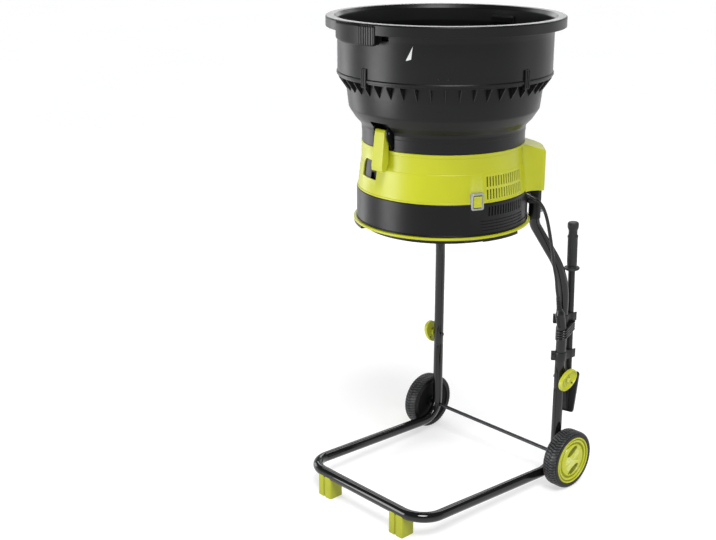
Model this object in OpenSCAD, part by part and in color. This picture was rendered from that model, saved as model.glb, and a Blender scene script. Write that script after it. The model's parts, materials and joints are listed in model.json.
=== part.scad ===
// Electric leaf shredder on a wheeled tubular stand.
// Millimetres, +Z up, +X to the machine's right, the front faces -Y.
// The origin lies on the floor under the middle of the machine's outline.

/* [Hopper] */
// Outer radius of the rolled rim at the top of the hopper
rim_r = 270; // [266:1:272]
// Height of the rim above the floor
hopper_top = 1165; // [1160:1:1170]
// Height of the rim's hanging outer lip
rim_lip = 23.5; // [20:0.5:26]
// Outer radius of the upper hopper wall
wall_r = 244; // [242:0.5:245]
// Height of the joint between the upper hopper and the lower funnel
skirt_z = 1036; // [1030:1:1040]
// Outer radius of the funnel's neck
neck_r = 188; // [187.5:0.1:188.5]
// Number of stiffening gussets under the hopper's ledge
gussets = 46; // [36:1:52]

/* [Drum] */
// Height of the top edge of the coloured motor band
band_top = 882; // [880:0.5:883]
// Height of the bottom edge of the coloured motor band
band_bottom = 773; // [772:0.5:774]
// Outer radius of the lower drum wall
drum_r = 200; // [199.5:0.1:200.5]
// Outer radius of the thin ring under the drum
ring_r = 208; // [206:0.5:210]
// Inner radius of the shredding chamber
bore_r = 180; // [179.5:0.1:180.5]
// Radius swept by the cutting lines
cut_r = 165; // [150:1:170]
// Number of vent slots in each row
vents = 15; // [11:1:15]

/* [Stand] */
// Outer diameter of the stand's steel tube
tube_d = 25.4; // [25:0.1:25.4]
// Wall thickness of the stand's steel tube
tube_wall = 1.3; // [1:0.1:1.6]
// Distance of each leg from the middle of the machine
leg_x = 205; // [203:0.5:206]
// Distance of the legs and axle behind the origin
leg_y = 208; // [207:0.5:208.5]
// Height at which the legs start to lean towards the drum
lean_z = 545; // [535:1:550]
// Height of the front cross tube's middle
front_z = 60.4; // [58:0.1:62]
// Height of the side tubes' middle at the rear bends
rear_z = 36.3; // [34:0.1:38]

/* [Wheels] */
// Rolling radius of the wheels, which is also the axle's height
wheel_r = 73.4; // [72:0.1:74]
// Width of the wheel
wheel_w = 40; // [38:0.5:42]
// Diameter of the axle rod
axle_d = 9.5; // [9:0.1:9.5]

/* [Tamper] */
// Length of the tamper's grip
grip_l = 102; // [90:1:105]
// Width of the tamper's paddle
paddle_w = 58; // [50:1:60]

/* [Hidden] */
$fn = 96;

lime = [0.74, 0.77, 0.15];
black = [0.07, 0.07, 0.075];
soft_black = [0.11, 0.11, 0.115];
steel = [0.72, 0.73, 0.75];

axis_y = -11;                 // the drum's axis stands a little ahead of the origin
tube_r = tube_d / 2;
tube_ri = tube_r - tube_wall;
box_a = 45;                   // bearing of the right leg's mounting box, from +X
box_d = 219;                  // distance of the leg's top end from the drum's axis
leg_top = [box_d * cos(box_a), axis_y + box_d * sin(box_a)];
socket_z = 693;               // bottom of the leg sockets
front_y = -268;               // front cross tube
front_x = 198;                // half width of the base at the front
knob_z = 282;
leg_joint_z = 255;
switch_a = -24;               // bearing of the switch, from +X
switch_z = 779;
pin_u = 197;                  // latch hinge pin, distance from the drum's axis
pin_z = 923;
stick = [205, 238.4];         // the tamper's axis at its upper clip
stick_z = 436;
stick_lean = 2.1;             // the tamper leans, its paddle a little further back

// ---------- helpers ----------
function unit(v) = v / norm(v);
function perp(d) = unit(cross(d, abs(d[2]) < 0.9 ? [0, 0, 1] : [1, 0, 0]));
function turn(a, b) = acos(max(-1, min(1, a * b)));

module frame_at(p, x, z) {
  y = cross(z, x);
  multmatrix([[x[0], y[0], z[0], p[0]], [x[1], y[1], z[1], p[1]], [x[2], y[2], z[2], p[2]], [0, 0, 0, 1]])
    children();
}
module along(p0, p1) { d = unit(p1 - p0); frame_at(p0, perp(d), d) children(); }
function stick_y(z) = stick[1] + (stick_z - z) * tan(stick_lean);
module at_stick() { translate([stick[0], stick[1], stick_z]) rotate([stick_lean, 0, 0]) translate([0, 0, -stick_z]) children(); }
module at_drum() { translate([0, axis_y, 0]) children(); }
module rev(pts) { rotate_extrude() polygon(pts); }
module along_x(p) { translate(p) rotate([0, 90, 0]) children(); }

// A bar along straight runs joined by round bends. The bends are a hair thicker
// than the straight runs, which reach a little way into them.
module bar(P, R, r) {
  n = len(P);
  D = [for (i = [0:n - 2]) unit(P[i + 1] - P[i])];
  T = [for (i = [0:n - 1]) (i == 0 || i == n - 1) ? 0 : R[i] * tan(turn(D[i - 1], D[i]) / 2)];
  for (i = [0:n - 2]) {
    p0 = P[i] + D[i] * (T[i] - (i == 0 ? 0 : 2));
    p1 = P[i + 1] - D[i] * (T[i + 1] - (i == n - 2 ? 0 : 2));
    along(p0, p1) cylinder(r = r, h = norm(p1 - p0));
  }
  for (i = [1:n - 2]) {
    a = turn(D[i - 1], D[i]);
    nrm = unit(D[i] - D[i - 1] * (D[i] * D[i - 1]));
    c = P[i] - D[i - 1] * T[i] + nrm * R[i];
    frame_at(c, -nrm, cross(-nrm, D[i - 1]))
      rotate_extrude(angle = a) translate([R[i], 0]) circle(r = r + 0.2);
  }
}
// A tube along the same kind of line, open at both ends.
module pipe(P, R, ro, ri) {
  n = len(P);
  Q = concat([P[0] + unit(P[0] - P[1])], [for (i = [1:n - 2]) P[i]], [P[n - 1] + unit(P[n - 1] - P[n - 2])]);
  difference() { bar(P, R, ro); bar(Q, R, ri); }
}
// A block on the drum: radial span r0 to r1, width w across, height z0 to z1, at bearing a.
module radial_block(a, r0, r1, w, z0, z1) {
  rotate([0, 0, a]) translate([r0, -w / 2, z0]) cube([r1 - r0, w, z1 - z0]);
}

// ---------- hopper ----------
module hopper_upper() color(black) at_drum() {
  t = hopper_top; lip = t - rim_lip; ri = wall_r - 3.5;
  difference() {
    union() {
      rev([[ri, skirt_z], [wall_r + 2, skirt_z], [wall_r + 2, skirt_z + 5], [wall_r, skirt_z + 7],
        [wall_r, t - 38], [wall_r + 2.5, t - 19], [rim_r - 3.5, t - 13], [rim_r - 3.5, lip], [rim_r, lip],
        [rim_r, t - 8], [rim_r - 1.5, t - 3.5], [rim_r - 5, t - 0.6], [rim_r - 9, t], [ri + 11.5, t],
        [ri + 7, t - 3], [ri + 4, t - 8], [ri + 1, t - 19], [ri, t - 38]]);
      // backs of the finger pockets beside the handles
      for (a = [-94.5, 85.5]) rotate([0, 0, a + 5]) rotate_extrude(angle = 14.8)
        polygon([[ri + 0.8, t - 43], [ri - 5.5, t - 40], [ri - 5.5, t - 25.5], [ri + 1.4, t - 21]]);
    }
    for (a = [-94.5, 85.5]) rotate([0, 0, a + 6]) rotate_extrude(angle = 12.8) translate([ri - 4, t - 37.5]) square([12, 10]);
  }
  // snap tabs that straddle the joint with the funnel
  for (a = [-91.5, -1.5, 88.5, 178.5]) {
    radial_block(a, wall_r - 1, wall_r + 5, 15, skirt_z + 1, skirt_z + 30);
    radial_block(a, wall_r + 2, wall_r + 5, 15, skirt_z - 12, skirt_z + 2);
    for (k = [-5, 0, 5]) radial_block(a + k * 0.2346, wall_r + 4, wall_r + 6.5, 2.2, skirt_z - 12, skirt_z + 30);
  }
}
module hopper_lower() color(black) at_drum() {
  n = neck_r; b = band_top;
  difference() {
    union() {
      rev([[236.5, skirt_z + 16], [239.8, skirt_z + 16], [239.8, skirt_z], [wall_r - 0.5, skirt_z],
        [wall_r - 0.5, skirt_z - 3.5], [225, skirt_z - 3.5], [223, 1000], [218.3, 959], [214.5, 950], [204, 938],
        [n + 4, 925.5], [n + 0.7, 921], [n, 916], [n, b + 0.3], [n - 5, b + 0.3], [n - 5, 866],
        [n - 8.5, 866], [n - 8.5, b + 2], [n - 4, b + 8], [n - 3.7, 917.5], [n - 0.3, 926.5],
        [201, 940.5], [211, 952], [214.8, 961], [219.5, 1000], [221.3, skirt_z], [236.5, skirt_z + 5]]);
      for (i = [0:gussets - 1])
        rotate([0, 0, -54 + i * 360 / gussets]) rotate([90, 0, 0]) translate([0, 0, -1.1])
          linear_extrude(2.2) polygon([[222.6, skirt_z - 2.5], [242.5, skirt_z - 2.5], [242.5, skirt_z - 6], [224, skirt_z - 33], [222.6, skirt_z - 33]]);
      // boxes behind the sunken pockets of the two latch levers
      intersection() {
        for (a = [-90, 90]) radial_block(a, 175, 212, 64, b + 0.7, 948);
        rev([[0, b], [n - 0.3, b], [n - 0.3, 916], [n + 0.4, 921], [n + 3.7, 925.5], [203.6, 938], [211.6, 948.5], [0, 948.5]]);
      }
    }
    for (a = [-90, 90]) radial_block(a, 178.6, 218, 57, 885.5, 944.5);
  }
  // cheeks that hold the hinge pins inside the pockets
  for (a = [-90, 90]) rotate([0, 0, a]) difference() {
    for (t = [-22, 19]) translate([0, t + 3, 0]) rotate([90, 0, 0]) linear_extrude(3)
      polygon([[177, 888], [188, 888], [199, 906], [203, 918], [203, 928], [199, 936], [177, 936]]);
    translate([pin_u, 30, pin_z]) rotate([90, 0, 0]) cylinder(r = 2.5, h = 60);
  }
}
module hopper_handles() color(black) at_drum() for (a = [-94.5, 85.5]) rotate([0, 0, a]) {
  z0 = hopper_top - 46; z1 = hopper_top - rim_lip;
  rotate([0, 0, -13]) rotate_extrude(angle = 28)
    polygon([[258, z0 + 2], [259.5, z0], [267, z0], [269, z0 + 2.5], [rim_r - 0.2, z0 + 8], [rim_r - 0.2, z1], [258, z1]]);
  for (e = [-13, 14]) rotate([0, 0, e]) rotate_extrude(angle = 1)
    polygon([[wall_r + 0.5, z0 + 6], [259, z0], [259, z1], [wall_r + 2.5, z1]]);
}
module fill_mark() color("white") at_drum() rotate([0, 0, -64.5]) translate([wall_r + 0.1, 0, 0])
  rotate([90, 0, 90]) linear_extrude(0.7) polygon([[-7.5, 1091], [4, 1094], [7.5, 1121]]);

// ---------- drum ----------
function band_in(k) = [[184.6 - k, band_top + 1], [185.2 - k, 872], [187 - k, 838], [drum_r - 5.4 - k, band_bottom]];
module mount_box(grow) {
  // side outline of a leg's mounting box, sloping down at the top
  g = grow;
  intersection() {
    translate([0, 46 + g, 0]) rotate([90, 0, 0]) linear_extrude(92 + 2 * g)
      polygon([[170, 766 + (g < 0 ? -5 : 0)], [234.5 + g, 766 + (g < 0 ? -5 : 0)], [234.5 + g, 860 + g], [230 + g, 866 + g], [170, 877 + g]]);
    translate([0, 0, 740]) linear_extrude(160) union() {
      translate([170, -46 - g]) square([56.5 + g, 92 + 2 * g]);
      translate([170, -38 - g]) square([64.5 + g, 76 + 2 * g]);
      for (s = [-1, 1]) translate([226.5 + g, s * (38 + g)]) circle(r = 8);
    }
  }
}
module switch_cut() radial_block(switch_a, 183, 212, 30.4, switch_z - 19.4, switch_z + 19.4);
module drum_band() color(lime) at_drum() difference() {
  union() {
    rev(concat([[drum_r - 2.3, band_bottom], [190, 838], [188.4, 872], [188, band_top - 1.6], [186.6, band_top], [184.6, band_top]],
      [[185.2, 872], [187, 838], [drum_r - 5.4, band_bottom]]));
    for (a = [box_a, 180 - box_a]) difference() {
      rotate([0, 0, a]) mount_box(0);
      rotate([0, 0, a]) difference() { mount_box(-3); translate([0, 0, 700]) cylinder(r = 190, h = 200); }
      rev(concat([[0, band_bottom - 20], [0, band_top + 1]], [for (p = band_in(-0.3)) p], [[drum_r - 5.1, band_bottom - 20]]));
      translate([0, 0, band_bottom - 20]) cylinder(r = drum_r + 0.4, h = 20);
    }
  }
  for (i = [0:vents - 1], z = [780, 808]) radial_block((i - (vents - 1) / 2) * 2.35 + 0.4, 180, 205, 3.4, z, z + 23);
  // finger recess beside each latch
  for (a = [-106.8, 73.2]) radial_block(a, 180, 205, 65, 809, 851);
  switch_cut();
  translate([0, -axis_y, 0]) along(gland_p - gland_d * 14, gland_p + gland_d * 30) cylinder(r = 8.3, h = 44);
}
module drum_housing() color(black) at_drum() difference() {
  union() {
    difference() {
      rev([[drum_r - 3, 700], [drum_r + 1.6, 700], [drum_r + 1.6, 703.5], [drum_r, 703.5], [drum_r, band_bottom - 1.5],
        [drum_r - 1.5, band_bottom], [bore_r + 4, band_bottom], [bore_r + 4, 864], [bore_r, 864], [bore_r, 700],
        [bore_r + 4, 700], [bore_r + 4, band_bottom - 3.5], [drum_r - 3, band_bottom - 3.5]]);
      for (i = [0:13]) radial_block((i - 5) * 2.35 - 3.6, drum_r - 8, drum_r + 5, 3.2, 743, 765);
      for (z = [711, 718, 725, 732]) rotate([0, 0, -21]) rotate_extrude(angle = 38) translate([drum_r - 1.2, z]) square([5, 2.6]);
      // the lowest louvre runs on as an open slit
      rotate([0, 0, 14]) rotate_extrude(angle = 46) translate([drum_r - 8, 711]) square([12, 2.6]);
    }
    // leg sockets
    for (a = [box_a, 180 - box_a]) rotate([0, 0, a]) {
      translate([box_d, 0, socket_z]) cylinder(r = tube_r + 1.6, h = 765 - socket_z);
      translate([drum_r - 1.5, -32, 736]) cube([box_d + 6 - drum_r + 1.5, 64, 29]);
    }
  }
  for (a = [box_a, 180 - box_a]) rotate([0, 0, a]) translate([box_d, 0, socket_z - 1]) cylinder(r = tube_r + 0.05, h = 66);
  for (a = [box_a, 180 - box_a]) rotate([0, 0, a]) translate([box_d - 30, 0, 712]) rotate([0, 90, 0]) cylinder(r = 3.3, h = 60);
  switch_cut();
  translate([0, -axis_y, 0]) along(gland_p - gland_d * 14, gland_p + gland_d * 30) cylinder(r = 8.3, h = 44);
}
module base_ring() color(lime) at_drum() difference() {
  rev([[bore_r + 4.6, 694], [ring_r - 2, 694], [ring_r, 695.6], [ring_r, 698.4], [ring_r - 1.6, 700], [bore_r + 4.6, 700]]);
  for (a = [box_a, 180 - box_a]) rotate([0, 0, a]) translate([box_d, 0, 690]) cylinder(r = tube_r + 2.2, h = 14);
}
module discharge_ring() color(black) at_drum() difference() {
  union() {
    rev([[bore_r, 681], [bore_r + 4, 681], [bore_r + 4, 689], [bore_r + 16, 689], [bore_r + 16, 694], [bore_r + 4.3, 694],
      [bore_r + 4.3, 699.8], [bore_r, 699.8]]);
    // lugs that hold the mouth of a bag
    for (a = [-125, -5, 115]) rotate([0, 0, a - 15]) rotate_extrude(angle = 30) translate([bore_r + 14, 687]) square([ring_r - bore_r - 15, 6.6]);
  }
  for (i = [0:5]) rotate([0, 0, 30 + i * 60]) translate([bore_r + 10, 0, 680]) cylinder(r = 2.2, h = 20);
}
module ring_screws() color(steel) at_drum() for (i = [0:5]) rotate([0, 0, 30 + i * 60]) translate([bore_r + 10, 0, 0]) {
  translate([0, 0, 685.8]) difference() { cylinder(r = 4, h = 3.2); translate([-3, -0.6, -1]) cube([6, 1.2, 2]); }
  translate([0, 0, 689]) cylinder(r = 2, h = 4.9);
}

// ---------- motor and cutter ----------
module motor_spider() color(soft_black) at_drum() {
  difference() {
    union() {
      translate([0, 0, 712]) cylinder(r = 60, h = 5);
      translate([0, 0, 716]) cylinder(r = 16.5, h = 13);
      intersection() {
        for (a = [30, 150, 270]) radial_block(a, 40, bore_r + 10, 14, 712, 716.9);
        translate([0, 0, 700]) cylinder(r = bore_r - 0.05, h = 60);
      }
      intersection() {
        for (a = [30, 150, 270]) radial_block(a, 60.3, bore_r + 10, 6, 712, 738);
        translate([0, 0, 700]) cylinder(r = bore_r - 0.05, h = 60);
      }
    }
    translate([0, 0, 719]) cylinder(r = 13.05, h = 20);
    translate([0, 0, 700]) cylinder(r = 8, h = 30);
  }
}
module motor_housing() color(soft_black) at_drum()
  rev([[57, 717], [60, 717], [60, 844], [58.5, 848.5], [54, 852], [13.05, 852], [13.05, 838], [17, 838], [17, 848.5], [52.5, 848.5], [57, 843]]);
module stator() color([0.45, 0.45, 0.47]) at_drum() translate([0, 0, 752]) difference() {
  cylinder(r = 56.9, h = 50);
  translate([0, 0, -1]) cylinder(r = 27, h = 52);
  for (a = [0, 180]) rotate([0, 0, a]) translate([30, -22, -1]) cube([16, 44, 52]);
}
module rotor_core() color([0.5, 0.5, 0.52]) at_drum() translate([0, 0, 752]) difference() {
  cylinder(r = 25.5, h = 50);
  translate([0, 0, -1]) cylinder(r = 5.02, h = 52);
  for (a = [0:30:330]) rotate([0, 0, a]) translate([21, -1, -1]) cube([6, 2, 52]);
}
module commutator() color([0.72, 0.45, 0.2]) at_drum() translate([0, 0, 810]) difference() {
  cylinder(r = 13, h = 18);
  translate([0, 0, -1]) cylinder(r = 5.02, h = 20);
}
module brush_holders() color([0.3, 0.3, 0.3]) at_drum() for (a = [90, 270]) radial_block(a, 13.8, 42, 9, 813, 825);
module cooling_fan() color(soft_black) at_drum() translate([0, 0, 735]) difference() {
  union() {
    cylinder(r = 46, h = 2.5);
    cylinder(r = 10, h = 11);
    for (a = [0:40:320]) rotate([0, 0, a]) translate([14, -1, 2]) cube([31, 2, 8]);
  }
  translate([0, 0, -1]) cylinder(r = 5.02, h = 20);
}
module motor_shaft() color(steel) at_drum() translate([0, 0, 719.5]) cylinder(r = 5, h = 168);
module ball_bearing(z) { translate([0, 0, z]) difference() { cylinder(r = 13, h = 9); translate([0, 0, -1]) cylinder(r = 5.03, h = 11); } }
module lower_bearing() color(steel) at_drum() ball_bearing(719.2);
module upper_bearing() color(steel) at_drum() ball_bearing(838.4);
module cutter_disc() color(soft_black) at_drum() difference() {
  union() {
    translate([0, 0, 858]) cylinder(r = 88, h = 9);
    translate([0, 0, 855]) cylinder(r = 20, h = 17);
    for (a = [45:90:315]) rotate([0, 0, a]) translate([76, 0, 858]) cylinder(r = 8, h = 13);
  }
  translate([0, 0, 850]) cylinder(r = 5.02, h = 30);
  for (a = [45:90:315]) rotate([0, 0, a]) translate([60, 0, 862.5]) rotate([0, 90, 0]) cylinder(r = 1.35, h = 60);
}
module cutting_lines() color([0.85, 0.5, 0.1]) at_drum()
  for (a = [45:90:315]) rotate([0, 0, a]) translate([60.2, 0, 862.5]) rotate([0, 90, 0]) cylinder(r = 1.3, h = cut_r - 60.2);
module cutter_nut() color(steel) at_drum() translate([0, 0, 872.1]) difference() {
  cylinder(r = 14, h = 12, $fn = 6);
  translate([0, 0, -1]) cylinder(r = 5.02, h = 20);
}
module terminal_block() color([0.85, 0.85, 0.8]) at_drum() radial_block(box_a, 198, 222, 50, 780, 838);
module interlock_switch() color([0.2, 0.2, 0.22]) at_drum() radial_block(180 - box_a, 198, 214, 30, 800, 846);

// ---------- switch ----------
module switch_pivot(r, l) rotate([0, 0, switch_a]) translate([199, l / 2, switch_z]) rotate([90, 0, 0]) cylinder(r = r, h = l);
module switch_bezel() color([0.66, 0.67, 0.68]) at_drum() {
  difference() {
    radial_block(switch_a, 186, 203.5, 30, switch_z - 19.2, switch_z + 19.2);
    radial_block(switch_a, 192, 210, 21, switch_z - 14.2, switch_z + 14.2);
  }
  switch_pivot(1.5, 26);
}
module switch_rocker() color(lime) at_drum() difference() {
  radial_block(switch_a, 195, 204.8, 20, switch_z - 12.4, switch_z + 12.4);
  switch_pivot(1.55, 30);
}

// ---------- latches ----------
module latch_lever() {
  // a lever that hangs from the pin, thicker towards its lower pull end
  difference() {
    union() {
      translate([0, 17, 0]) rotate([90, 0, 0]) linear_extrude(34)
        polygon([[190.4, pin_z - 2], [191.4, 872], [192.4, 854], [201, 838], [204, 836.5], [207, 836.5], [211, 838.5], [213, 843],
          [213, 850], [206.5, 905], [204.5, 922], [203.4, 927], [200, 930], [197, 930]]);
      translate([pin_u, 17, pin_z]) rotate([90, 0, 0]) cylinder(r = 6.8, h = 34);
    }
    translate([pin_u, 20, pin_z]) rotate([90, 0, 0]) cylinder(r = 2.55, h = 40);
  }
}
module front_latch() color(lime) at_drum() rotate([0, 0, -90]) latch_lever();
module rear_latch() color(lime) at_drum() rotate([0, 0, 90]) latch_lever();
module latch_pins() color(steel) at_drum() for (a = [-90, 90]) rotate([0, 0, a]) translate([pin_u, 22.5, pin_z]) rotate([90, 0, 0]) cylinder(r = 2.5, h = 45);

// ---------- stand ----------
module base_frame() color(black) difference() {
  union() {
    pipe([[leg_x, leg_y, leg_joint_z], [leg_x, leg_y, rear_z], [front_x, front_y, front_z],
      [-front_x, front_y, front_z], [-leg_x, leg_y, rear_z], [-leg_x, leg_y, leg_joint_z]],
      [0, 52, 60, 60, 52, 0], tube_r, tube_ri);
    // swaged spigots that enter the legs
    for (s = [-1, 1]) translate([s * leg_x, leg_y, 0]) difference() {
      union() {
        translate([0, 0, leg_joint_z - 6]) cylinder(r = tube_r - 0.4, h = 6);
        translate([0, 0, leg_joint_z - 6]) cylinder(r = tube_ri - 0.1, h = 62);
      }
      translate([0, 0, leg_joint_z - 7]) cylinder(r = tube_ri - 1.4, h = 64);
    }
  }
  for (s = [-1, 1]) along_x([s * leg_x - 20, leg_y, wheel_r]) cylinder(r = axle_d / 2 + 0.25, h = 40);
  for (s = [-1, 1]) along_x([s * leg_x - 20, leg_y, knob_z]) cylinder(r = 4.3, h = 40);
}
module leg() difference() {
  pipe([[leg_x, leg_y, leg_joint_z + 0.2], [leg_x, leg_y, lean_z], [leg_top[0], leg_top[1], socket_z - 14], [leg_top[0], leg_top[1], 757]],
    [0, 220, 45, 0], tube_r, tube_ri);
  along_x([leg_x - 20, leg_y, knob_z]) cylinder(r = 4.3, h = 40);
  at_drum() rotate([0, 0, box_a]) translate([box_d - 30, 0, 712]) rotate([0, 90, 0]) cylinder(r = 3.3, h = 60);
}
module right_leg() color(black) leg();
module left_leg() color(black) mirror([1, 0, 0]) leg();
module socket_bolts() color(steel) at_drum() for (a = [box_a, 180 - box_a]) rotate([0, 0, a]) translate([box_d, 0, 712]) rotate([0, 90, 0]) {
  translate([0, 0, -14.5]) cylinder(r = 3, h = 29);
  translate([0, 0, tube_r + 1.8]) cylinder(r = 6, h = 4, $fn = 6);
}
module axle() color(steel) along_x([-257, leg_y, wheel_r]) cylinder(r = axle_d / 2, h = 514);
module axle_nuts() color(steel) for (s = [-1, 1]) along_x([s * (222 + 31.3) - 1.2, leg_y, wheel_r]) difference() {
  cylinder(r = 9, h = 2.4);
  translate([0, 0, -1]) cylinder(r = axle_d / 2 + 0.05, h = 5);
}
module wheel_body() {
  w = wheel_w; b = axle_d / 2 + 0.03;
  rev([[b, 0], [16, 0], [16, 2.6], [56.5, 2.6], [58.5, 0], [wheel_r - 4.5, 0], [wheel_r - 1, 3], [wheel_r, 8],
    [wheel_r, w - 8], [wheel_r - 1, w - 3], [wheel_r - 4.5, w], [62.3, w], [62.3, w - 7], [57, w - 7], [53, 12], [16, 12], [16, w - 11], [b, w - 11]]);
}
module cap_body() {
  w = wheel_w;
  difference() {
    rev([[0, w - 3], [0, w - 0.2], [14, w + 0.2], [40, w - 0.3], [45, w - 1.2], [48, w - 2.2], [51, w - 2.2], [53, w - 0.4], [55, w + 0.6], [60, w + 0.6],
      [62, w - 0.8], [62, w - 6.8], [57.5, w - 6.8], [57, w - 4.5], [16, w - 3]]);
    for (s = [-1, 1]) translate([s * 26, 0, w - 1.8]) intersection() {
      translate([s * 22, 0, 0]) cylinder(r = 32, h = 6);
      translate([s * -22, 0, 0]) cylinder(r = 32, h = 6);
    }
  }
}
module right_wheel() color(soft_black) along_x([222, leg_y, wheel_r]) wheel_body();
module right_hub_cap() color(lime) along_x([222, leg_y, wheel_r]) cap_body();
module left_wheel() color(soft_black) mirror([1, 0, 0]) along_x([222, leg_y, wheel_r]) wheel_body();
module left_hub_cap() color(lime) mirror([1, 0, 0]) along_x([222, leg_y, wheel_r]) cap_body();
module foot() difference() {
  linear_extrude(57) polygon([[102.5, -277.5], [105.5, -280.6], [143.5, -280.6], [146.5, -277.5], [146.5, -243], [143.5, -240], [105.5, -240], [102.5, -243]]);
  translate([90, 0, 0]) rotate([90, 0, 90]) linear_extrude(70) polygon([[-262, 58], [-236, 58], [-236, 34]]);
  bar([[leg_x, leg_y, rear_z], [front_x, front_y, front_z], [0, front_y, front_z]], [0, 60, 0], tube_r + 0.15);
  for (x = [112, 119, 126, 133]) translate([x, -282, 6]) cube([2.5, 2.6, 60]);
}
module front_feet() color(lime) { foot(); mirror([1, 0, 0]) foot(); }

// ---------- leg knobs ----------
module knob_body(lie) {
  along_x([188, leg_y, knob_z]) cylinder(r = 4, h = 39);
  along_x([leg_x + tube_r + 0.6, leg_y, knob_z]) cylinder(r = 10, h = 8.5);
  translate([226, leg_y, knob_z]) rotate([lie, 0, 0]) rotate([90, 0, 90]) {
    for (s = [-1, 1]) translate([s * 10.5, 0, 0]) cylinder(r = 22, h = 9);
    translate([-10.5, -22, 0]) cube([21, 44, 9]);
    for (s = [-1, 1]) translate([s * 10.5, 0, 8]) cylinder(r = 19, h = 3);
    translate([-10.5, -19, 8]) cube([21, 38, 3]);
  }
}
module right_knob() color(lime) knob_body(26);
module left_knob() color(lime) mirror([1, 0, 0]) knob_body(-62);
module knob_nuts() color(steel) for (s = [-1, 1]) translate([s * (leg_x - tube_r - 2), leg_y, knob_z]) difference() {
  cube([3.2, 12, 12], center = true);
  along_x([-10, 0, 0]) cylinder(r = 4.3, h = 20);
}

// ---------- tamper and its clips ----------
module clip(z0, h) translate([leg_x, leg_y, z0]) {
  c = [stick[0] - leg_x, stick_y(z0 + h / 2) - leg_y, 0];
  difference() {
    union() {
      cylinder(r = 14.4, h = h);
      rotate([0, 0, -45]) translate([-5, -22.8, 0]) cube([10, 10, h]);
      translate([-9, 12, 0]) cube([18, 13, h]);
      translate(c) { cylinder(r = 11.6, h = h); translate([-11.6, 0, 0]) cube([23.2, 10, h]); }
    }
    translate([0, 0, -1]) cylinder(r = tube_r + 0.05, h = h + 2);
    rotate([0, 0, -45]) translate([-1.5, -30, -1]) cube([3, 20, h + 2]);
    translate(c + [0, 0, -1]) { cylinder(r = 9.1, h = h + 2); translate([-9.1, 0, 0]) cube([18.2, 20, h + 2]); }
    rotate([0, 0, -45]) along_x([-10, -18.6, h / 2]) cylinder(r = 2.2, h = 20);
  }
}
module upper_clip() color(soft_black) clip(425, 22);
module lower_clip() color(soft_black) clip(328, 22);
module clip_screws() color(steel) for (z = [436, 339]) translate([leg_x, leg_y, z]) rotate([0, 0, -45]) translate([0, -18.6, 0]) {
  along_x([-5, 0, 0]) cylinder(r = 2, h = 12);
  along_x([5.1, 0, 0]) cylinder(r = 3.4, h = 2.6);
  along_x([-7.6, 0, 0]) cylinder(r = 3.6, h = 2.5, $fn = 6);
}
module paddle_face(k) polygon([[-paddle_w / 2 + 13 + k, 178 + k], [paddle_w / 2 - 13 - k, 178 + k], [paddle_w / 2 - k, 290 - k], [-paddle_w / 2 + k, 290 - k]]);
module tamper_shaft() color(soft_black) at_stick() {
  translate([0, 0, 280]) cylinder(r = 8.3, h = 290);
  rotate([0, 0, 14]) {
    translate([0, 2.5, 0]) rotate([90, 0, 0]) linear_extrude(5) paddle_face(0);
    translate([0, 4, 0]) rotate([90, 0, 0]) linear_extrude(8) difference() { paddle_face(0); paddle_face(4); }
    translate([-4, -5, 184]) cube([8, 10, 100]);
  }
}
module tamper_grip() color(soft_black) at_stick() {
  g = 668 - grip_l;
  difference() {
    rev([[8.35, g + 4], [8.35, g], [10.5, g], [12, g + 3], [12, 634], [12.6, 639], [12.6, 642], [10.6, 645], [10.6, 656], [13, 661], [13.5, 673], [12, 676], [0, 676], [0, 570.2], [8.35, 570.2]]);
    for (a = [0:30:330]) rotate([0, 0, a]) translate([11.4, -1, g + 8]) cube([3, 2, 630 - g - 12]);
  }
  rev([[8.35, g - 8], [18, g - 8], [19, g - 7], [19, g - 5], [18, g - 4], [10.5, g - 4], [10.5, g + 1], [8.35, g + 1]]);
}

// ---------- cord ----------
gland_a = 31;
gland_d = [cos(gland_a) * cos(25), sin(gland_a) * cos(25), -sin(25)];
gland_p = [200 * cos(gland_a), axis_y + 200 * sin(gland_a), 760];
plug_b = [221.5, 187.3, 414];
plug_t = [211, 177.5, 500];
plug_d = unit(plug_t - plug_b);
gland_end = gland_p + gland_d * 26;
// Middle line of the free cord, from the gland down to the plug.
route = [gland_end, [197, 110.5, 741], [201, 118.5, 728], [203, 128.5, 706], [204, 137, 680], [205, 146, 648],
  [206, 154, 615], [207, 161, 582], [209, 169, 550], plug_t + plug_d * 22, plug_t];
function ends(R) = concat([2 * R[0] - R[1]], R, [2 * R[len(R) - 1] - R[len(R) - 2]]);
function curve(a, b, c, d, t) = 0.5 * ((2 * b) + (c - a) * t + (2 * a - 5 * b + 4 * c - d) * t * t + (3 * b - a - 3 * c + d) * t * t * t);
function walk(E, k) = concat([for (i = [1:len(E) - 3], j = [0:k - 1]) curve(E[i - 1], E[i], E[i + 1], E[i + 2], j / k)], [E[len(E) - 2]]);
module cord_tube(C, r, sides, d0, d1) {
  n = len(C);
  D = [for (i = [0:n - 1]) i == 0 ? d0 : i == n - 1 ? d1 : unit(C[i + 1] - C[i - 1])];
  X = [for (d = D) unit(cross([0.7, -0.7, 0.1], d))];
  pts = [for (i = [0:n - 1], k = [0:sides - 1]) C[i] + r * (cos(k * 360 / sides) * X[i] + sin(k * 360 / sides) * cross(D[i], X[i]))];
  walls = [for (i = [0:n - 2], k = [0:sides - 1]) [i * sides + k, (i + 1) * sides + k, (i + 1) * sides + (k + 1) % sides, i * sides + (k + 1) % sides]];
  polyhedron(pts, concat([[for (k = [0:sides - 1]) k]], walls, [[for (k = [sides - 1:-1:0]) (n - 1) * sides + k]]), convexity = 6);
}
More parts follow.
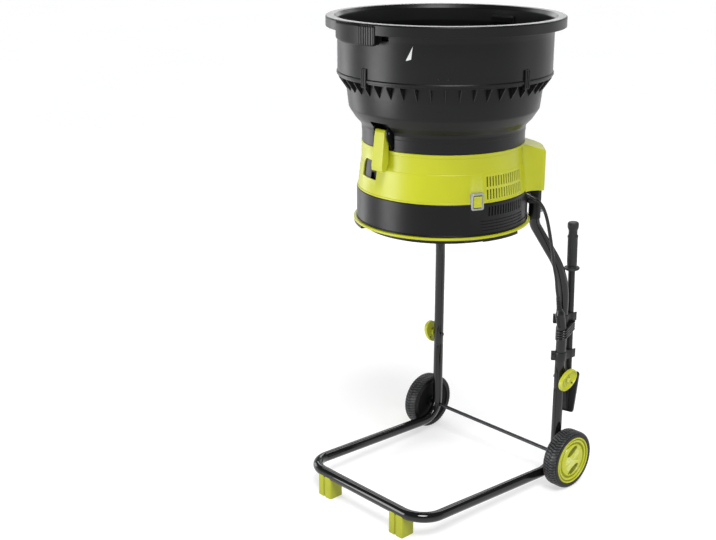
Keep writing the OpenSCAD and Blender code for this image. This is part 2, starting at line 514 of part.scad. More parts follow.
module cord_gland() color(black) along(gland_p - gland_d * 10, gland_end)
  rev([[4, 0], [8, 0], [8, 15], [7.2, 16], [7.2, 19], [6.6, 20], [6.6, 23], [6, 24], [6, 27], [5.4, 28], [5, 36], [0, 36], [0, 30], [4, 30]]);
module cord() color(black) cord_tube(walk(ends(route), 2), 4, 10, gland_d, -plug_d);
module plug() color(black) along(plug_b, plug_t) {
  L = norm(plug_t - plug_b);
  rev([[0, 0], [9.8, 0], [11.4, 2], [11.4, 44], [9, 51], [7.5, 55], [7.5, 58], [6.6, 59], [6.6, 63], [6, 64], [6, 69], [5.4, 70], [5, L], [0, L]]);
  for (s = [-1, 1]) translate([s * 5 - 0.75, -3.2, -14]) cube([1.5, 6.4, 15]);
  translate([0, 6.5, -16]) cylinder(r = 2.2, h = 17);
}
module cord_strap() color(soft_black) translate([0, 0, 398]) linear_extrude(26.4) difference() {
  hull() { translate([leg_x, leg_y]) circle(r = tube_r + 2, $fn = 48); translate([221, 186.8]) circle(r = 14.6, $fn = 48); }
  hull() { translate([leg_x, leg_y]) circle(r = tube_r + 0.15, $fn = 48); translate([221, 186.8]) circle(r = 12.6, $fn = 48); }
}

hopper_upper();
hopper_lower();
hopper_handles();
fill_mark();
drum_band();
drum_housing();
base_ring();
discharge_ring();
ring_screws();
motor_spider();
motor_housing();
stator();
rotor_core();
commutator();
brush_holders();
cooling_fan();
motor_shaft();
lower_bearing();
upper_bearing();
cutter_disc();
cutting_lines();
cutter_nut();
terminal_block();
interlock_switch();
switch_bezel();
switch_rocker();
front_latch();
rear_latch();
latch_pins();
base_frame();
left_leg();
right_leg();
socket_bolts();
axle();
axle_nuts();
left_wheel();
right_wheel();
left_hub_cap();
right_hub_cap();
front_feet();
left_knob();
right_knob();
knob_nuts();
upper_clip();
lower_clip();
clip_screws();
tamper_shaft();
tamper_grip();
cord_gland();
cord();
plug();
cord_strap();
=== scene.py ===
import json
from math import sin, cos, tan, pi, radians, degrees, atan2, hypot, acos, sqrt, ceil
import bpy
import bmesh
from mathutils import Vector, Matrix


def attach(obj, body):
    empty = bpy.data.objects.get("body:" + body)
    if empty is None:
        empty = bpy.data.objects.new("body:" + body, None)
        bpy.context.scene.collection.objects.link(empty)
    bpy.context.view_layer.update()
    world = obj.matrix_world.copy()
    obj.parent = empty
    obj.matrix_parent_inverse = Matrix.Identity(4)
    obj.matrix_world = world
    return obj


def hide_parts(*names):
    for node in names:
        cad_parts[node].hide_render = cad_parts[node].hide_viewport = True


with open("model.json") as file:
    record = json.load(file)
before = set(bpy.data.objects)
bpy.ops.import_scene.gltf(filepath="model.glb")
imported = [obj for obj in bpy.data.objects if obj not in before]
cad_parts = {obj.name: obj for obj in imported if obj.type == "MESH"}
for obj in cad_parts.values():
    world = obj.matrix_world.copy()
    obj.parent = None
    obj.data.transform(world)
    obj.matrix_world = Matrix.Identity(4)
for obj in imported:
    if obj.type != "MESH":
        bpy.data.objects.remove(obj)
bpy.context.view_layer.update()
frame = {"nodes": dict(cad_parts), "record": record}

MM = 0.001
AY = -11.0                    # the drum's axis stands at x = 0, y = AY
scene = bpy.context.scene
NODES = frame["nodes"]

# ------------------------------------------------------------------ camera
az, el, roll = radians(47.2657), radians(18.0489), radians(-0.1241)
back = Vector((sin(az) * cos(el), -cos(az) * cos(el), sin(el)))
right = (-back).cross(Vector((0, 0, 1))).normalized()
up = right.cross(-back)
r2 = cos(roll) * right + sin(roll) * up
u2 = -sin(roll) * right + cos(roll) * up
cam = bpy.data.objects.new("camera", bpy.data.cameras.new("camera"))
scene.collection.objects.link(cam)
m = Matrix((r2, u2, back)).transposed().to_4x4()
m.translation = Vector((1.81454, -1.95687, 1.42548))
cam.matrix_world = m
cam.data.sensor_fit = "HORIZONTAL"
cam.data.sensor_width = 36.0
cam.data.lens = 36.0 * 1160.518 / 716.0
cam.data.clip_start, cam.data.clip_end = 0.05, 200
scene.camera = cam


# ------------------------------------------------------------------ materials
def srgb(r, g, b):
    return tuple((c / 255 / 12.92) if c / 255 <= 0.04045 else ((c / 255 + 0.055) / 1.055) ** 2.4 for c in (r, g, b)) + (1.0,)


def link(nt, a, b):
    nt.links.new(a, b)


def noise(nt, co, scale, detail=3.0, rough=0.55, stretch=None):
    if stretch:
        mp = nt.nodes.new("ShaderNodeMapping")
        mp.inputs["Scale"].default_value = stretch
        link(nt, co, mp.inputs["Vector"])
        co = mp.outputs["Vector"]
    n = nt.nodes.new("ShaderNodeTexNoise")
    n.inputs["Scale"].default_value = scale
    n.inputs["Detail"].default_value = detail
    n.inputs["Roughness"].default_value = rough
    link(nt, co, n.inputs["Vector"])
    return n.outputs["Fac"]


def ramp(nt, fac, stops):
    r = nt.nodes.new("ShaderNodeValToRGB")
    e = r.color_ramp.elements
    while len(e) < len(stops):
        e.new(0.5)
    for k, (p, c) in enumerate(stops):
        e[k].position = p
        e[k].color = c
    link(nt, fac, r.inputs["Fac"])
    return r.outputs["Color"]


def remap(nt, fac, lo, hi, a=0.3, b=0.7):
    r = nt.nodes.new("ShaderNodeMapRange")
    r.inputs["From Min"].default_value = a
    r.inputs["From Max"].default_value = b
    r.inputs["To Min"].default_value = lo
    r.inputs["To Max"].default_value = hi
    link(nt, fac, r.inputs["Value"])
    return r.outputs["Result"]


def mixc(nt, fac, a, b, mode="MIX"):
    x = nt.nodes.new("ShaderNodeMix")
    x.data_type = "RGBA"
    x.blend_type = mode
    link(nt, fac, x.inputs["Factor"])
    for s, v in ((6, a), (7, b)):
        if hasattr(v, "links"):
            link(nt, v, x.inputs[s])
        else:
            x.inputs[s].default_value = v
    return x.outputs[2]


def bump(nt, height, strength, distance, normal=None):
    b = nt.nodes.new("ShaderNodeBump")
    b.inputs["Strength"].default_value = strength
    b.inputs["Distance"].default_value = distance
    link(nt, height, b.inputs["Height"])
    if normal is not None:
        link(nt, normal, b.inputs["Normal"])
    return b.outputs["Normal"]


def finish_of(name, c0, c1, rough, grain=(900, 0.12, 0.0002), mottle=9.0, edge_wear_and_highlight=None, coat=0.0, metal=0.0, spec=0.5,
              grain2=None, streak=None, coat_rough=0.1, sheen=0.0, crevice_painted_shade=None):
    """A procedural finish: two close colours that mottle, roughness that wanders, a fine surface grain, edges worn
    paler (on the lime finishes the pale edges are also a painted highlight), and, where asked, painted shade that
    darkens crevices.
    """
    mt = bpy.data.materials.new(name)
    mt.use_nodes = True
    nt = mt.node_tree
    p = nt.nodes["Principled BSDF"]
    co = nt.nodes.new("ShaderNodeTexCoord").outputs["Object"]
    col = ramp(nt, noise(nt, co, mottle, 4.0), [(0.30, c0), (0.70, c1)])
    if streak:
        sc, st, cs, lo, hi = streak
        f = noise(nt, co, sc, 3.0, 0.6, st)
        col = mixc(nt, remap(nt, f, 0.0, 1.0, lo, hi), col, cs)
    # pale edges where pointiness is high: worn edges, and on the lime finishes a painted highlight along the edges
    if edge_wear_and_highlight:
        edge_wear_highlight_colour, lo, hi, amount = edge_wear_and_highlight
        g = nt.nodes.new("ShaderNodeNewGeometry")
        e = remap(nt, g.outputs["Pointiness"], 0.0, amount, lo, hi)
        br = noise(nt, co, 160.0, 3.0)
        mul = nt.nodes.new("ShaderNodeMath")
        mul.operation = "MULTIPLY"
        link(nt, e, mul.inputs[0])
        link(nt, remap(nt, br, 0.3, 1.0), mul.inputs[1])
        col = mixc(nt, mul.outputs[0], col, edge_wear_highlight_colour)
    # painted shade: the colour darkens towards a shade colour where ambient occlusion finds a crevice within reach
    if crevice_painted_shade:
        crevice_shade_colour, reach, lo, hi = crevice_painted_shade
        ao = nt.nodes.new("ShaderNodeAmbientOcclusion")
        ao.samples = 6
        ao.only_local = True
        ao.inputs["Distance"].default_value = reach
        col = mixc(nt, remap(nt, ao.outputs["AO"], 1.0, 0.0, lo, hi), col, crevice_shade_colour)
    link(nt, col, p.inputs["Base Color"])
    link(nt, remap(nt, noise(nt, co, mottle * 3.1, 4.0), rough[0], rough[1]), p.inputs["Roughness"])
    nrm = bump(nt, noise(nt, co, grain[0], 2.0, 0.5), grain[1], grain[2])
    if grain2:
        nrm = bump(nt, noise(nt, co, grain2[0], 2.0, 0.5), grain2[1], grain2[2], nrm)
    link(nt, nrm, p.inputs["Normal"])
    p.inputs["Metallic"].default_value = metal
    p.inputs["Specular IOR Level"].default_value = spec
    if coat:
        p.inputs["Coat Weight"].default_value = coat
        p.inputs["Coat Roughness"].default_value = coat_rough
    if sheen:
        p.inputs["Sheen Weight"].default_value = sheen
        p.inputs["Sheen Roughness"].default_value = 0.5
    return mt


def g4(v, t=1.0):
    return (v, v * (1 + 0.02 * t), v * (1 + 0.06 * t), 1.0)


black_plastic = finish_of("black_plastic", g4(0.0026), g4(0.0036), (0.30, 0.36), (1500, 0.12, 0.00013), 7.0,
                          edge_wear_and_highlight=(g4(0.035), 0.53, 0.64, 0.5), grain2=(420, 0.04, 0.0003), spec=0.27)
drum_plastic = finish_of("drum_plastic", g4(0.0024), g4(0.0034), (0.31, 0.38), (1300, 0.13, 0.00014), 8.0,
                         edge_wear_and_highlight=(g4(0.035), 0.53, 0.64, 0.5), grain2=(380, 0.04, 0.0003), spec=0.24)
dark_plastic = finish_of("dark_plastic", g4(0.0085), g4(0.0120), (0.32, 0.42), (1600, 0.14, 0.00014), 22.0,
                         edge_wear_and_highlight=(g4(0.05), 0.53, 0.65, 0.5), spec=0.32)
# lime: the pale edge colour is partly a painted highlight along edges, and the olive crevice colour is painted shade
lime_plastic = finish_of("lime_plastic", srgb(174, 178, 20), srgb(181, 185, 26), (0.30, 0.37), (1400, 0.08, 0.00012), 10.0,
                         edge_wear_and_highlight=(srgb(222, 227, 138), 0.52, 0.62, 0.65), grain2=(260, 0.03, 0.0004), spec=0.42,
                         crevice_painted_shade=(srgb(104, 106, 8), 0.007, 0.20, 0.72))
# hub cap lime: the pale edge colour is partly a painted rim highlight, and the olive crevice colour is painted shade
lime_wheel = finish_of("lime_cap", srgb(180, 184, 26), srgb(188, 192, 34), (0.26, 0.34), (1200, 0.07, 0.00012), 22.0,
                       edge_wear_and_highlight=(srgb(226, 231, 146), 0.52, 0.62, 0.70), spec=0.45,
                       crevice_painted_shade=(srgb(104, 106, 8), 0.007, 0.25, 0.80))
# painted shade: darker olive copies of the lime for the hub cap's lens pockets and ring grooves
lime_painted_shade = finish_of("lime_painted_shade", srgb(104, 108, 14), srgb(122, 126, 24), (0.50, 0.60), (1200, 0.12, 0.00014), 30.0, spec=0.25)
lime_groove_painted_shade = finish_of("lime_groove_painted_shade", srgb(142, 146, 22), srgb(156, 160, 32), (0.45, 0.55), (1200, 0.12, 0.00014), 30.0, spec=0.3)
# the foot's dark olive crevice colour is painted shade
lime_foot = finish_of("lime_foot", srgb(150, 154, 20), srgb(160, 164, 28), (0.42, 0.52), (900, 0.16, 0.0002), 26.0,
                      edge_wear_and_highlight=(srgb(196, 201, 92), 0.53, 0.66, 0.45), grain2=(240, 0.06, 0.0005), spec=0.35,
                      crevice_painted_shade=(srgb(84, 86, 8), 0.010, 0.25, 0.85))
grey_plastic = finish_of("grey_plastic", srgb(150, 153, 156), srgb(165, 167, 170), (0.28, 0.38), (1500, 0.10, 0.00012), 30.0,
                         edge_wear_and_highlight=(srgb(205, 207, 208), 0.53, 0.66, 0.4), metal=0.25)
white_plastic = finish_of("white_plastic", srgb(214, 216, 216), srgb(226, 227, 226), (0.40, 0.50), (1400, 0.08, 0.0001), 60.0)
black_paint = finish_of("black_paint", g4(0.0036), g4(0.0052), (0.06, 0.10), (240, 0.03, 0.00025), 14.0,
                        edge_wear_and_highlight=(g4(0.04), 0.55, 0.68, 0.4), coat=0.15, coat_rough=0.04, grain2=(1200, 0.03, 0.0001), spec=0.42)
steel = finish_of("steel", (0.50, 0.51, 0.53, 1), (0.60, 0.61, 0.63, 1), (0.24, 0.36), (700, 0.06, 0.0001), 40.0, metal=1.0,
                  streak=(90, (1, 14, 14), (0.40, 0.41, 0.43, 1), 0.45, 0.75))
dark_steel = finish_of("dark_steel", (0.045, 0.045, 0.048, 1), (0.065, 0.065, 0.069, 1), (0.34, 0.46), (700, 0.08, 0.0001), 40.0, metal=1.0)
laminated_iron = finish_of("laminated_iron", (0.20, 0.20, 0.21, 1), (0.27, 0.27, 0.28, 1), (0.40, 0.52), (600, 0.06, 0.0001), 30.0, metal=0.9,
                           streak=(60, (1, 1, 60), (0.11, 0.11, 0.12, 1), 0.5, 0.62))
copper = finish_of("copper", (0.62, 0.28, 0.13, 1), (0.72, 0.36, 0.18, 1), (0.26, 0.36), (600, 0.06, 0.0001), 50.0, metal=1.0,
                   streak=(120, (10, 10, 1), (0.40, 0.17, 0.08, 1), 0.5, 0.7))
nylon_line = finish_of("nylon_line", srgb(214, 120, 30), srgb(228, 138, 42), (0.28, 0.38), (900, 0.05, 0.0001), 60.0, coat=0.2)
# the tyre's near-black crevice colour is painted shade between the tread blocks
wheel_rubber = finish_of("wheel_rubber", g4(0.0030), g4(0.0060), (0.34, 0.48), (1100, 0.20, 0.0002), 26.0,
                         edge_wear_and_highlight=(g4(0.11), 0.51, 0.60, 0.85), grain2=(330, 0.08, 0.0004), spec=0.26,
                         crevice_painted_shade=(g4(0.0006), 0.006, 0.25, 0.90))
web_plastic = finish_of("web_plastic", g4(0.0026), g4(0.0036), (0.50, 0.62), (1100, 0.10, 0.0002), 18.0, spec=0.12)
grip_rubber = finish_of("grip_rubber", g4(0.011), g4(0.016), (0.48, 0.60), (1700, 0.22, 0.00018), 30.0, sheen=0.03, spec=0.4)
cord_rubber = finish_of("cord_rubber", g4(0.006), g4(0.010), (0.16, 0.23), (1500, 0.10, 0.0001), 40.0, spec=0.4)
SLOTS = {"black_plastic": black_plastic, "dark_plastic": dark_plastic, "lime_plastic": lime_plastic, "grey_plastic": grey_plastic,
         "white_plastic": white_plastic, "black_paint": black_paint, "steel": steel, "dark_steel": dark_steel,
         "laminated_iron": laminated_iron, "copper": copper, "nylon_line": nylon_line, "wheel_rubber": wheel_rubber,
         "grip_rubber": grip_rubber, "cord_rubber": cord_rubber}
node_slot = {s["node"]: s.get("material_slot") for s in frame["record"].get("subparts", [])}
for n, o in NODES.items():
    mt = SLOTS.get(node_slot.get(n), dark_plastic)
    if n in ("ring_screws", "knob_nuts", "clip_screws", "axle"):
        mt = dark_steel
    o.data.materials.clear()
    o.data.materials.append(mt)


# ------------------------------------------------------------------ geometry helpers (millimetres)
class Geo:
    def __init__(self, v=None, f=None):
        self.v, self.f = v or [], f or []

    def __add__(self, o):
        k = len(self.v)
        return Geo(self.v + o.v, self.f + [tuple(i + k for i in f) for f in o.f])

    def map(self, fn):
        return Geo([fn(*p) for p in self.v], list(self.f))


def total(gs):
    out = Geo()
    for g in gs:
        out = out + g
    return out


def fillet(pts, closed=True, step=14.0):
    """Rounds the corners of an outline whose points are (x, y) or (x, y, radius)."""
    n, out = len(pts), []
    for i, p in enumerate(pts):
        r = p[2] if len(p) > 2 else 0
        P = Vector(p[:2])
        if r <= 0 or (not closed and i in (0, n - 1)):
            out.append((P.x, P.y))
            continue
        A, B = Vector(pts[i - 1][:2]) - P, Vector(pts[(i + 1) % n][:2]) - P
        la, lb = A.length, B.length
        A.normalize(); B.normalize()
        ang = acos(max(-1, min(1, A.dot(B))))
        if ang > radians(178.5):
            out.append((P.x, P.y))
            continue
        d = min(r / tan(ang / 2), la * 0.48, lb * 0.48)
        r = d * tan(ang / 2)
        c = P + (A + B).normalized() * (r / sin(ang / 2))
        a0, a1 = atan2(*((P + A * d - c).yx)), atan2(*((P + B * d - c).yx))
        da = (a1 - a0 + pi) % (2 * pi) - pi
        k = max(2, int(ceil(abs(degrees(da)) / step)))
        for j in range(k + 1):
            a = a0 + da * j / k
            out.append((c.x + r * cos(a), c.y + r * sin(a)))
    return out


def loft(rows, wrap=False, cap=True, ring=True):
    """Skins rows of points; ring closes each row, wrap joins the last row to the first."""
    n, k = len(rows), len(rows[0])
    v = [p for r in rows for p in r]
    f = []
    for i in range(n if wrap else n - 1):
        a, b = i * k, ((i + 1) % n) * k
        for j in range(k if ring else k - 1):
            j2 = (j + 1) % k
            f.append((a + j, a + j2, b + j2, b + j))
    if cap and not wrap:
        f.append(tuple(range(k - 1, -1, -1)))
        f.append(tuple(range((n - 1) * k, n * k)))
    return Geo(v, f)


def revolve(prof, n=192, a0=0.0, a1=360.0, cx=0.0, cy=AY):
    full = abs(a1 - a0) >= 359.99
    k = n if full else max(2, int(round(n * abs(a1 - a0) / 360.0)))
    rows = []
    for i in range(k if full else k + 1):
        a = radians(a0 + (a1 - a0) * i / k)
        rows.append([(cx + r * cos(a), cy + r * sin(a), z) for r, z in prof])
    return loft(rows, wrap=full, cap=not full)


def prism(outline, h0, h1, fn=lambda x, y, h: (x, y, h), rows=1):
    return loft([[fn(x, y, h0 + (h1 - h0) * i / rows) for x, y in outline] for i in range(rows + 1)])


def polar(a):
    """Local (out, across, height) at a bearing on the drum."""
    c, s = cos(radians(a)), sin(radians(a))
    return lambda u, t, z: (u * c - t * s, AY + u * s + t * c, z)


def pbox(a, u0, u1, w, z0, z1, t0=None):
    fn = polar(a)
    t = w / 2
    return prism([(u0, -t), (u1, -t), (u1, t), (u0, t)], z0, z1, lambda u, tt, z: fn(u, tt, z))


def rrect(w, h, r, step=12.0, cx=0.0, cy=0.0):
    return fillet([(cx - w / 2, cy - h / 2, r), (cx + w / 2, cy - h / 2, r), (cx + w / 2, cy + h / 2, r), (cx - w / 2, cy + h / 2, r)], True, step)


def stadium(l, w, n=14):
    r, out = w / 2, []
    for i in range(n + 1):
        a = -pi / 2 + pi * i / n
        out.append((l / 2 - r + r * cos(a), r * sin(a)))
    for i in range(n + 1):
        a = pi / 2 + pi * i / n
        out.append((-l / 2 + r + r * cos(a), r * sin(a)))
    return out


def sweep(path, radii, sides=28, cap=True, inner=None):
    """A round bar or tube along points; inner gives the bore's radius for an open tube."""
    P = [Vector(p) for p in path]
    n = len(P)
    if not isinstance(radii, (list, tuple)):
        radii = [radii] * n
    T = []
    for i in range(n):
        a, b = P[max(i - 1, 0)], P[min(i + 1, n - 1)]
        T.append((b - a).normalized())
    x = T[0].cross(Vector((0, 0, 1)))
    if x.length < 1e-3:
        x = Vector((1, 0, 0))
    x.normalize()
    rows = []
    for i in range(n):
        if i:
            x = (x - T[i] * x.dot(T[i])).normalized()
        y = T[i].cross(x)
        rows.append([tuple(P[i] + radii[i] * (cos(2 * pi * k / sides) * x + sin(2 * pi * k / sides) * y)) for k in range(sides)])
    if inner is None:
        return loft(rows, cap=cap)
    x = T[0].cross(Vector((0, 0, 1)))
    if x.length < 1e-3:
        x = Vector((1, 0, 0))
    x.normalize()
    inr = []
    for i in range(n):
        if i:
            x = (x - T[i] * x.dot(T[i])).normalized()
        y = T[i].cross(x)
        inr.append([tuple(P[i] + inner * (cos(2 * pi * k / sides) * x + sin(2 * pi * k / sides) * y)) for k in range(sides)])
    return loft(rows + inr[::-1], wrap=True)


def bend_path(pts, radii, step=4.0, run=60.0):
    """Centre line of straight runs joined by round bends."""
    P = [Vector(p) for p in pts]
    out = [P[0]]
    for i in range(1, len(P) - 1):
        a, b = (P[i - 1] - P[i]).normalized(), (P[i + 1] - P[i]).normalized()
        ang = acos(max(-1, min(1, a.dot(b))))
        d = radii[i] / tan(ang / 2)
        c = P[i] + (a + b).normalized() * (radii[i] / sin(ang / 2))
        v0, v1 = P[i] + a * d - c, P[i] + b * d - c
        tot = pi - ang
        k = max(4, int(ceil(degrees(tot) / step)))
        ax = v0.cross(v1).normalized()
        for j in range(k + 1):
            out.append(c + Matrix.Rotation(tot * j / k, 3, ax) @ v0)
    out.append(P[-1])
    fine = [out[0]]
    for p in out[1:]:
        q = fine[-1]
        k = int((p - q).length // run)
        for j in range(1, k + 1):
            fine.append(q + (p - q) * j / (k + 1))
        fine.append(p)
    return fine


def to_object(name, geo):
    me = bpy.data.meshes.new(name)
    me.from_pydata([(x * MM, y * MM, z * MM) for x, y, z in geo.v], [], geo.f)
    ob = bpy.data.objects.new(name, me)
    scene.collection.objects.link(ob)
    bm = bmesh.new()
    bm.from_mesh(me)
    bmesh.ops.remove_doubles(bm, verts=bm.verts, dist=1e-7)
    bmesh.ops.dissolve_degenerate(bm, edges=bm.edges, dist=1e-8)
    bmesh.ops.recalc_face_normals(bm, faces=bm.faces)
    bm.to_mesh(me)
    bm.free()
    return ob


def bake(ob):
    """Applies an object's modifiers."""
    bpy.context.view_layer.update()
    dg = bpy.context.evaluated_depsgraph_get()
    me = bpy.data.meshes.new_from_object(ob.evaluated_get(dg))
    old = ob.data
    ob.modifiers.clear()
    ob.data = me
    bpy.data.meshes.remove(old)
    return ob


def boolean(ob, geo, op="DIFFERENCE", self_cross=False):
    other = geo if isinstance(geo, bpy.types.Object) else to_object("tool", geo)
    md = ob.modifiers.new("b", "BOOLEAN")
    md.operation, md.object, md.solver = op, other, "EXACT"
    md.use_self = self_cross
    bake(ob)
    me = other.data
    bpy.data.objects.remove(other)
    bpy.data.meshes.remove(me)
    return ob


def soften(ob, width, seg=2, angle=40.0, apply=True):
    md = ob.modifiers.new("bevel", "BEVEL")
    md.width, md.segments = width * MM, seg
    md.limit_method, md.angle_limit = "ANGLE", radians(angle)
    md.use_clamp_overlap = True
    md.miter_outer = "MITER_ARC"
    if apply:
        bake(ob)
    return ob


def smooth(ob, angle=32.0):
    me = ob.data
    me.shade_smooth()
    me.set_sharp_from_angle(angle=radians(angle))
    return ob


def piece(ob, mat, body, nodes=(), angle=32.0, weighted=True):
    """Finishes a piece: shading, material, the body it rides on and the nodes that it stands for."""
    if isinstance(ob, tuple):
        ob = to_object(*ob)
    keep = [f.material_index for f in ob.data.polygons]
    ob.data.materials.clear()
    for mt in (mat if isinstance(mat, (list, tuple)) else [mat]):
        ob.data.materials.append(mt)
    if isinstance(mat, (list, tuple)):
        ob.data.polygons.foreach_set("material_index", keep)
    smooth(ob, angle)
    if weighted:
        md = ob.modifiers.new("normals", "WEIGHTED_NORMAL")
        md.keep_sharp = True
    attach(ob, body)
    if nodes:
        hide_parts(*nodes)
    return ob


# ------------------------------------------------------------------ cord, gland and plug
GA = radians(31)
gland_d = Vector((cos(GA) * cos(radians(25)), sin(GA) * cos(radians(25)), -sin(radians(25))))
gland_p = Vector((200 * cos(GA), AY + 200 * sin(GA), 760))
gland_end = gland_p + gland_d * 26
plug_b, plug_t = Vector((221.5, 187.3, 414)), Vector((211, 177.5, 500))
plug_d = (plug_t - plug_b).normalized()
route = [gland_end] + [Vector(p) for p in ((197, 110.5, 741), (201, 118.5, 728), (203, 128.5, 706), (204, 137, 680), (205, 146, 648),
                                          (206, 154, 615), (207, 161, 582), (209, 169, 550))] + [plug_t + plug_d * 22, plug_t]


def catmull(R, k):
    E = [2 * R[0] - R[1]] + R + [2 * R[-1] - R[-2]]
    out = []
    for i in range(1, len(E) - 2):
        a, b, c, d = E[i - 1:i + 3]
        for j in range(k):
            t = j / k
            out.append(0.5 * ((2 * b) + (c - a) * t + (2 * a - 5 * b + 4 * c - d) * t * t + (3 * b - a - 3 * c + d) * t ** 3))
    return out + [R[-1]]


line = catmull(route, 3)
cu = bpy.data.curves.new("power_cord", "CURVE")
cu.dimensions = "3D"
sp = cu.splines.new("POLY")
sp.points.add(len(line) - 1)
for p, q in zip(sp.points, line):
    p.co = (q.x * MM, q.y * MM, q.z * MM, 1)
cu.bevel_depth, cu.bevel_resolution = 0.004, 5
cu.use_fill_caps = True
cu.materials.append(cord_rubber)
cord = bpy.data.objects.new("power_cord", cu)
scene.collection.objects.link(cord)
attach(cord, "stand")
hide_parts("cord")
cord_len = sum((line[i + 1] - line[i]).length for i in range(len(line) - 1)) * MM


def axis_map(p, d):
    d = Vector(d).normalized()
    x = d.cross(Vector((0, 0, 1))) if abs(d.z) < 0.9 else d.cross(Vector((1, 0, 0)))
    x.normalize()
    y = d.cross(x)
    p = Vector(p)
    return lambda a, b, h: tuple(p + x * a + y * b + d * h)


def spin(prof, p, d, n=40):
    """A closed outline (radius, height) turned about an axis through p along d."""
    fn = axis_map(p, d)
    rows = [[fn(r * cos(2 * pi * i / n), r * sin(2 * pi * i / n), h) for r, h in prof] for i in range(n)]
    return loft(rows, wrap=True)


gl = fillet([(4.0, 0), (8, 0, .6), (8, 15, .6), (7.1, 16, .4), (7.1, 19.2, .5), (6.0, 19.8, .2), (6.0, 20.8, .2), (6.7, 21.4, .5), (6.7, 23.6, .5), (5.6, 24.2, .2),
             (5.6, 25.2, .2), (6.2, 25.8, .5), (6.1, 28, .5), (5.2, 28.6, .2), (5.2, 29.6, .2), (5.7, 30.2, .5), (5.5, 32.4, .5), (5.0, 33), (4.7, 36, .4), (4.0, 36)])
gland = piece(("cord_gland_sleeve", spin(gl, gland_p - gland_d * 10, gland_d, 36)), cord_rubber, "stand", ["cord_gland"])

L = (plug_t - plug_b).length
pf = axis_map(plug_b, plug_d)


def plug_row(h, r, flat):
    out = []
    for i in range(48):
        a = 2 * pi * i / 48
        # a rounded body with two flattened, finger-gripped sides
        k = 1 - flat * abs(cos(a)) ** 6
        out.append(pf(r * k * cos(a), r * cos(0) * sin(a), h))
    return out


rows = [plug_row(0, 9.6, 0), plug_row(0.6, 10.8, 0), plug_row(2, 11.4, 0), plug_row(9, 11.4, 0.0)]
for i in range(9):
    h = 12 + i * 3.6
    rows += [plug_row(h, 11.4, 0.02), plug_row(h + 0.7, 11.3, 0.13), plug_row(h + 2.0, 11.3, 0.13), plug_row(h + 2.8, 11.4, 0.02)]
rows += [plug_row(46, 10.6, 0), plug_row(50, 9.2, 0), plug_row(53.5, 7.9, 0), plug_row(56, 7.5, 0), plug_row(57.6, 7.5, 0)]
for i in range(6):
    h, r = 58.2 + i * 4.0, 6.7 - i * 0.28
    rows += [plug_row(h, r - 0.9, 0), plug_row(h + 1.0, r - 0.9, 0), plug_row(h + 1.5, r, 0), plug_row(h + 3.4, r, 0)]
rows += [plug_row(L - 3.5, 5.0, 0), plug_row(L - 0.6, 4.8, 0), plug_row(L, 4.4, 0)]
plug_geo = loft(rows)
plug_body = piece(("plug_body", plug_geo), cord_rubber, "stand", ["plug"], angle=40)
blades = Geo()
for s in (-1, 1):
    blades = blades + prism(fillet([(s * 5 - .75, -3.2, .3), (s * 5 + .75, -3.2, .3), (s * 5 + .75, 3.2, .3), (s * 5 - .75, 3.2, .3)]), -14, 0.4, pf, 1)
blades = blades + spin([(0.01, -16), (1.4, -16), (2.2, -14.6), (2.2, 0.4), (0.01, 0.4)], plug_b + Vector(pf(0, 6.5, 0)) - plug_b, plug_d, 20)
blade_ob = to_object("plug_blades", blades)
piece(blade_ob, steel, "stand", ())

# ------------------------------------------------------------------ hopper, upper ring
prof = fillet([(240.5, 1036, .5), (246, 1036, .9), (246, 1041.2, .9), (244, 1043.4, 1.0), (244, 1127, 25), (246.5, 1147, 6), (266.6, 1151.5, 1.5),
               (266.6, 1141.5, .5), (270, 1141.5, 1.0), (270, 1164.9, 6.5), (262.5, 1165, 3.0), (250.8, 1165, 2.2), (243.6, 1156, 7), (240.5, 1127, 40)], True, 12)
up_ob = to_object("hopper_ring", revolve(prof, 224))
slots = Geo()
for a in (-94.5, 85.5):
    slots = slots + revolve([(236.6, 1127.6), (249, 1127.6), (249, 1137.4), (236.6, 1137.4)], 448, a + 6, a + 18.8)
boolean(up_ob, slots)
# closed pockets behind the finger slots
trough = Geo()
for a in (-94.5, 85.5):
    trough = trough + revolve([(241.2, 1122.2), (241.2, 1127.6), (236.6, 1127.6), (236.6, 1137.4), (241.6, 1137.4), (241.8, 1143.6), (236.6, 1140.2), (235.2, 1138.2), (235.2, 1127.0), (236.6, 1125.2)],
                              448, a + 6, a + 18.8)
    for e0, e1 in ((a + 5, a + 6), (a + 18.8, a + 19.8)):
        trough = trough + revolve([(241.2, 1122.2), (241.8, 1143.6), (236.6, 1140.2), (235.2, 1138.2), (235.2, 1127.0), (236.6, 1125.2)], 1800, e0, e1)
trough_ob = to_object("finger_pockets", trough)


def tab(a):
    """A fluted snap tab across the joint under the upper ring."""
    th = radians(a)

    def fn(t, z, r):
        b = th + t / 246.0
        return (r * cos(b), AY + r * sin(b), z)
    g = prism(fillet([(-8, 1024.5, 3.2), (8, 1024.5, 3.2), (8, 1066, 1.6), (-8, 1066, 1.6)], True, 18), 241.0, 247.2, fn)
    for t in (-5.6, 0, 5.6):
        g = g + prism(fillet([(t - 1.5, 1027, 1.2), (t + 1.5, 1027, 1.2), (t + 1.5, 1064.2, 1.0), (t - 1.5, 1064.2, 1.0)], True, 20), 246.8, 248.3, fn)
    return g


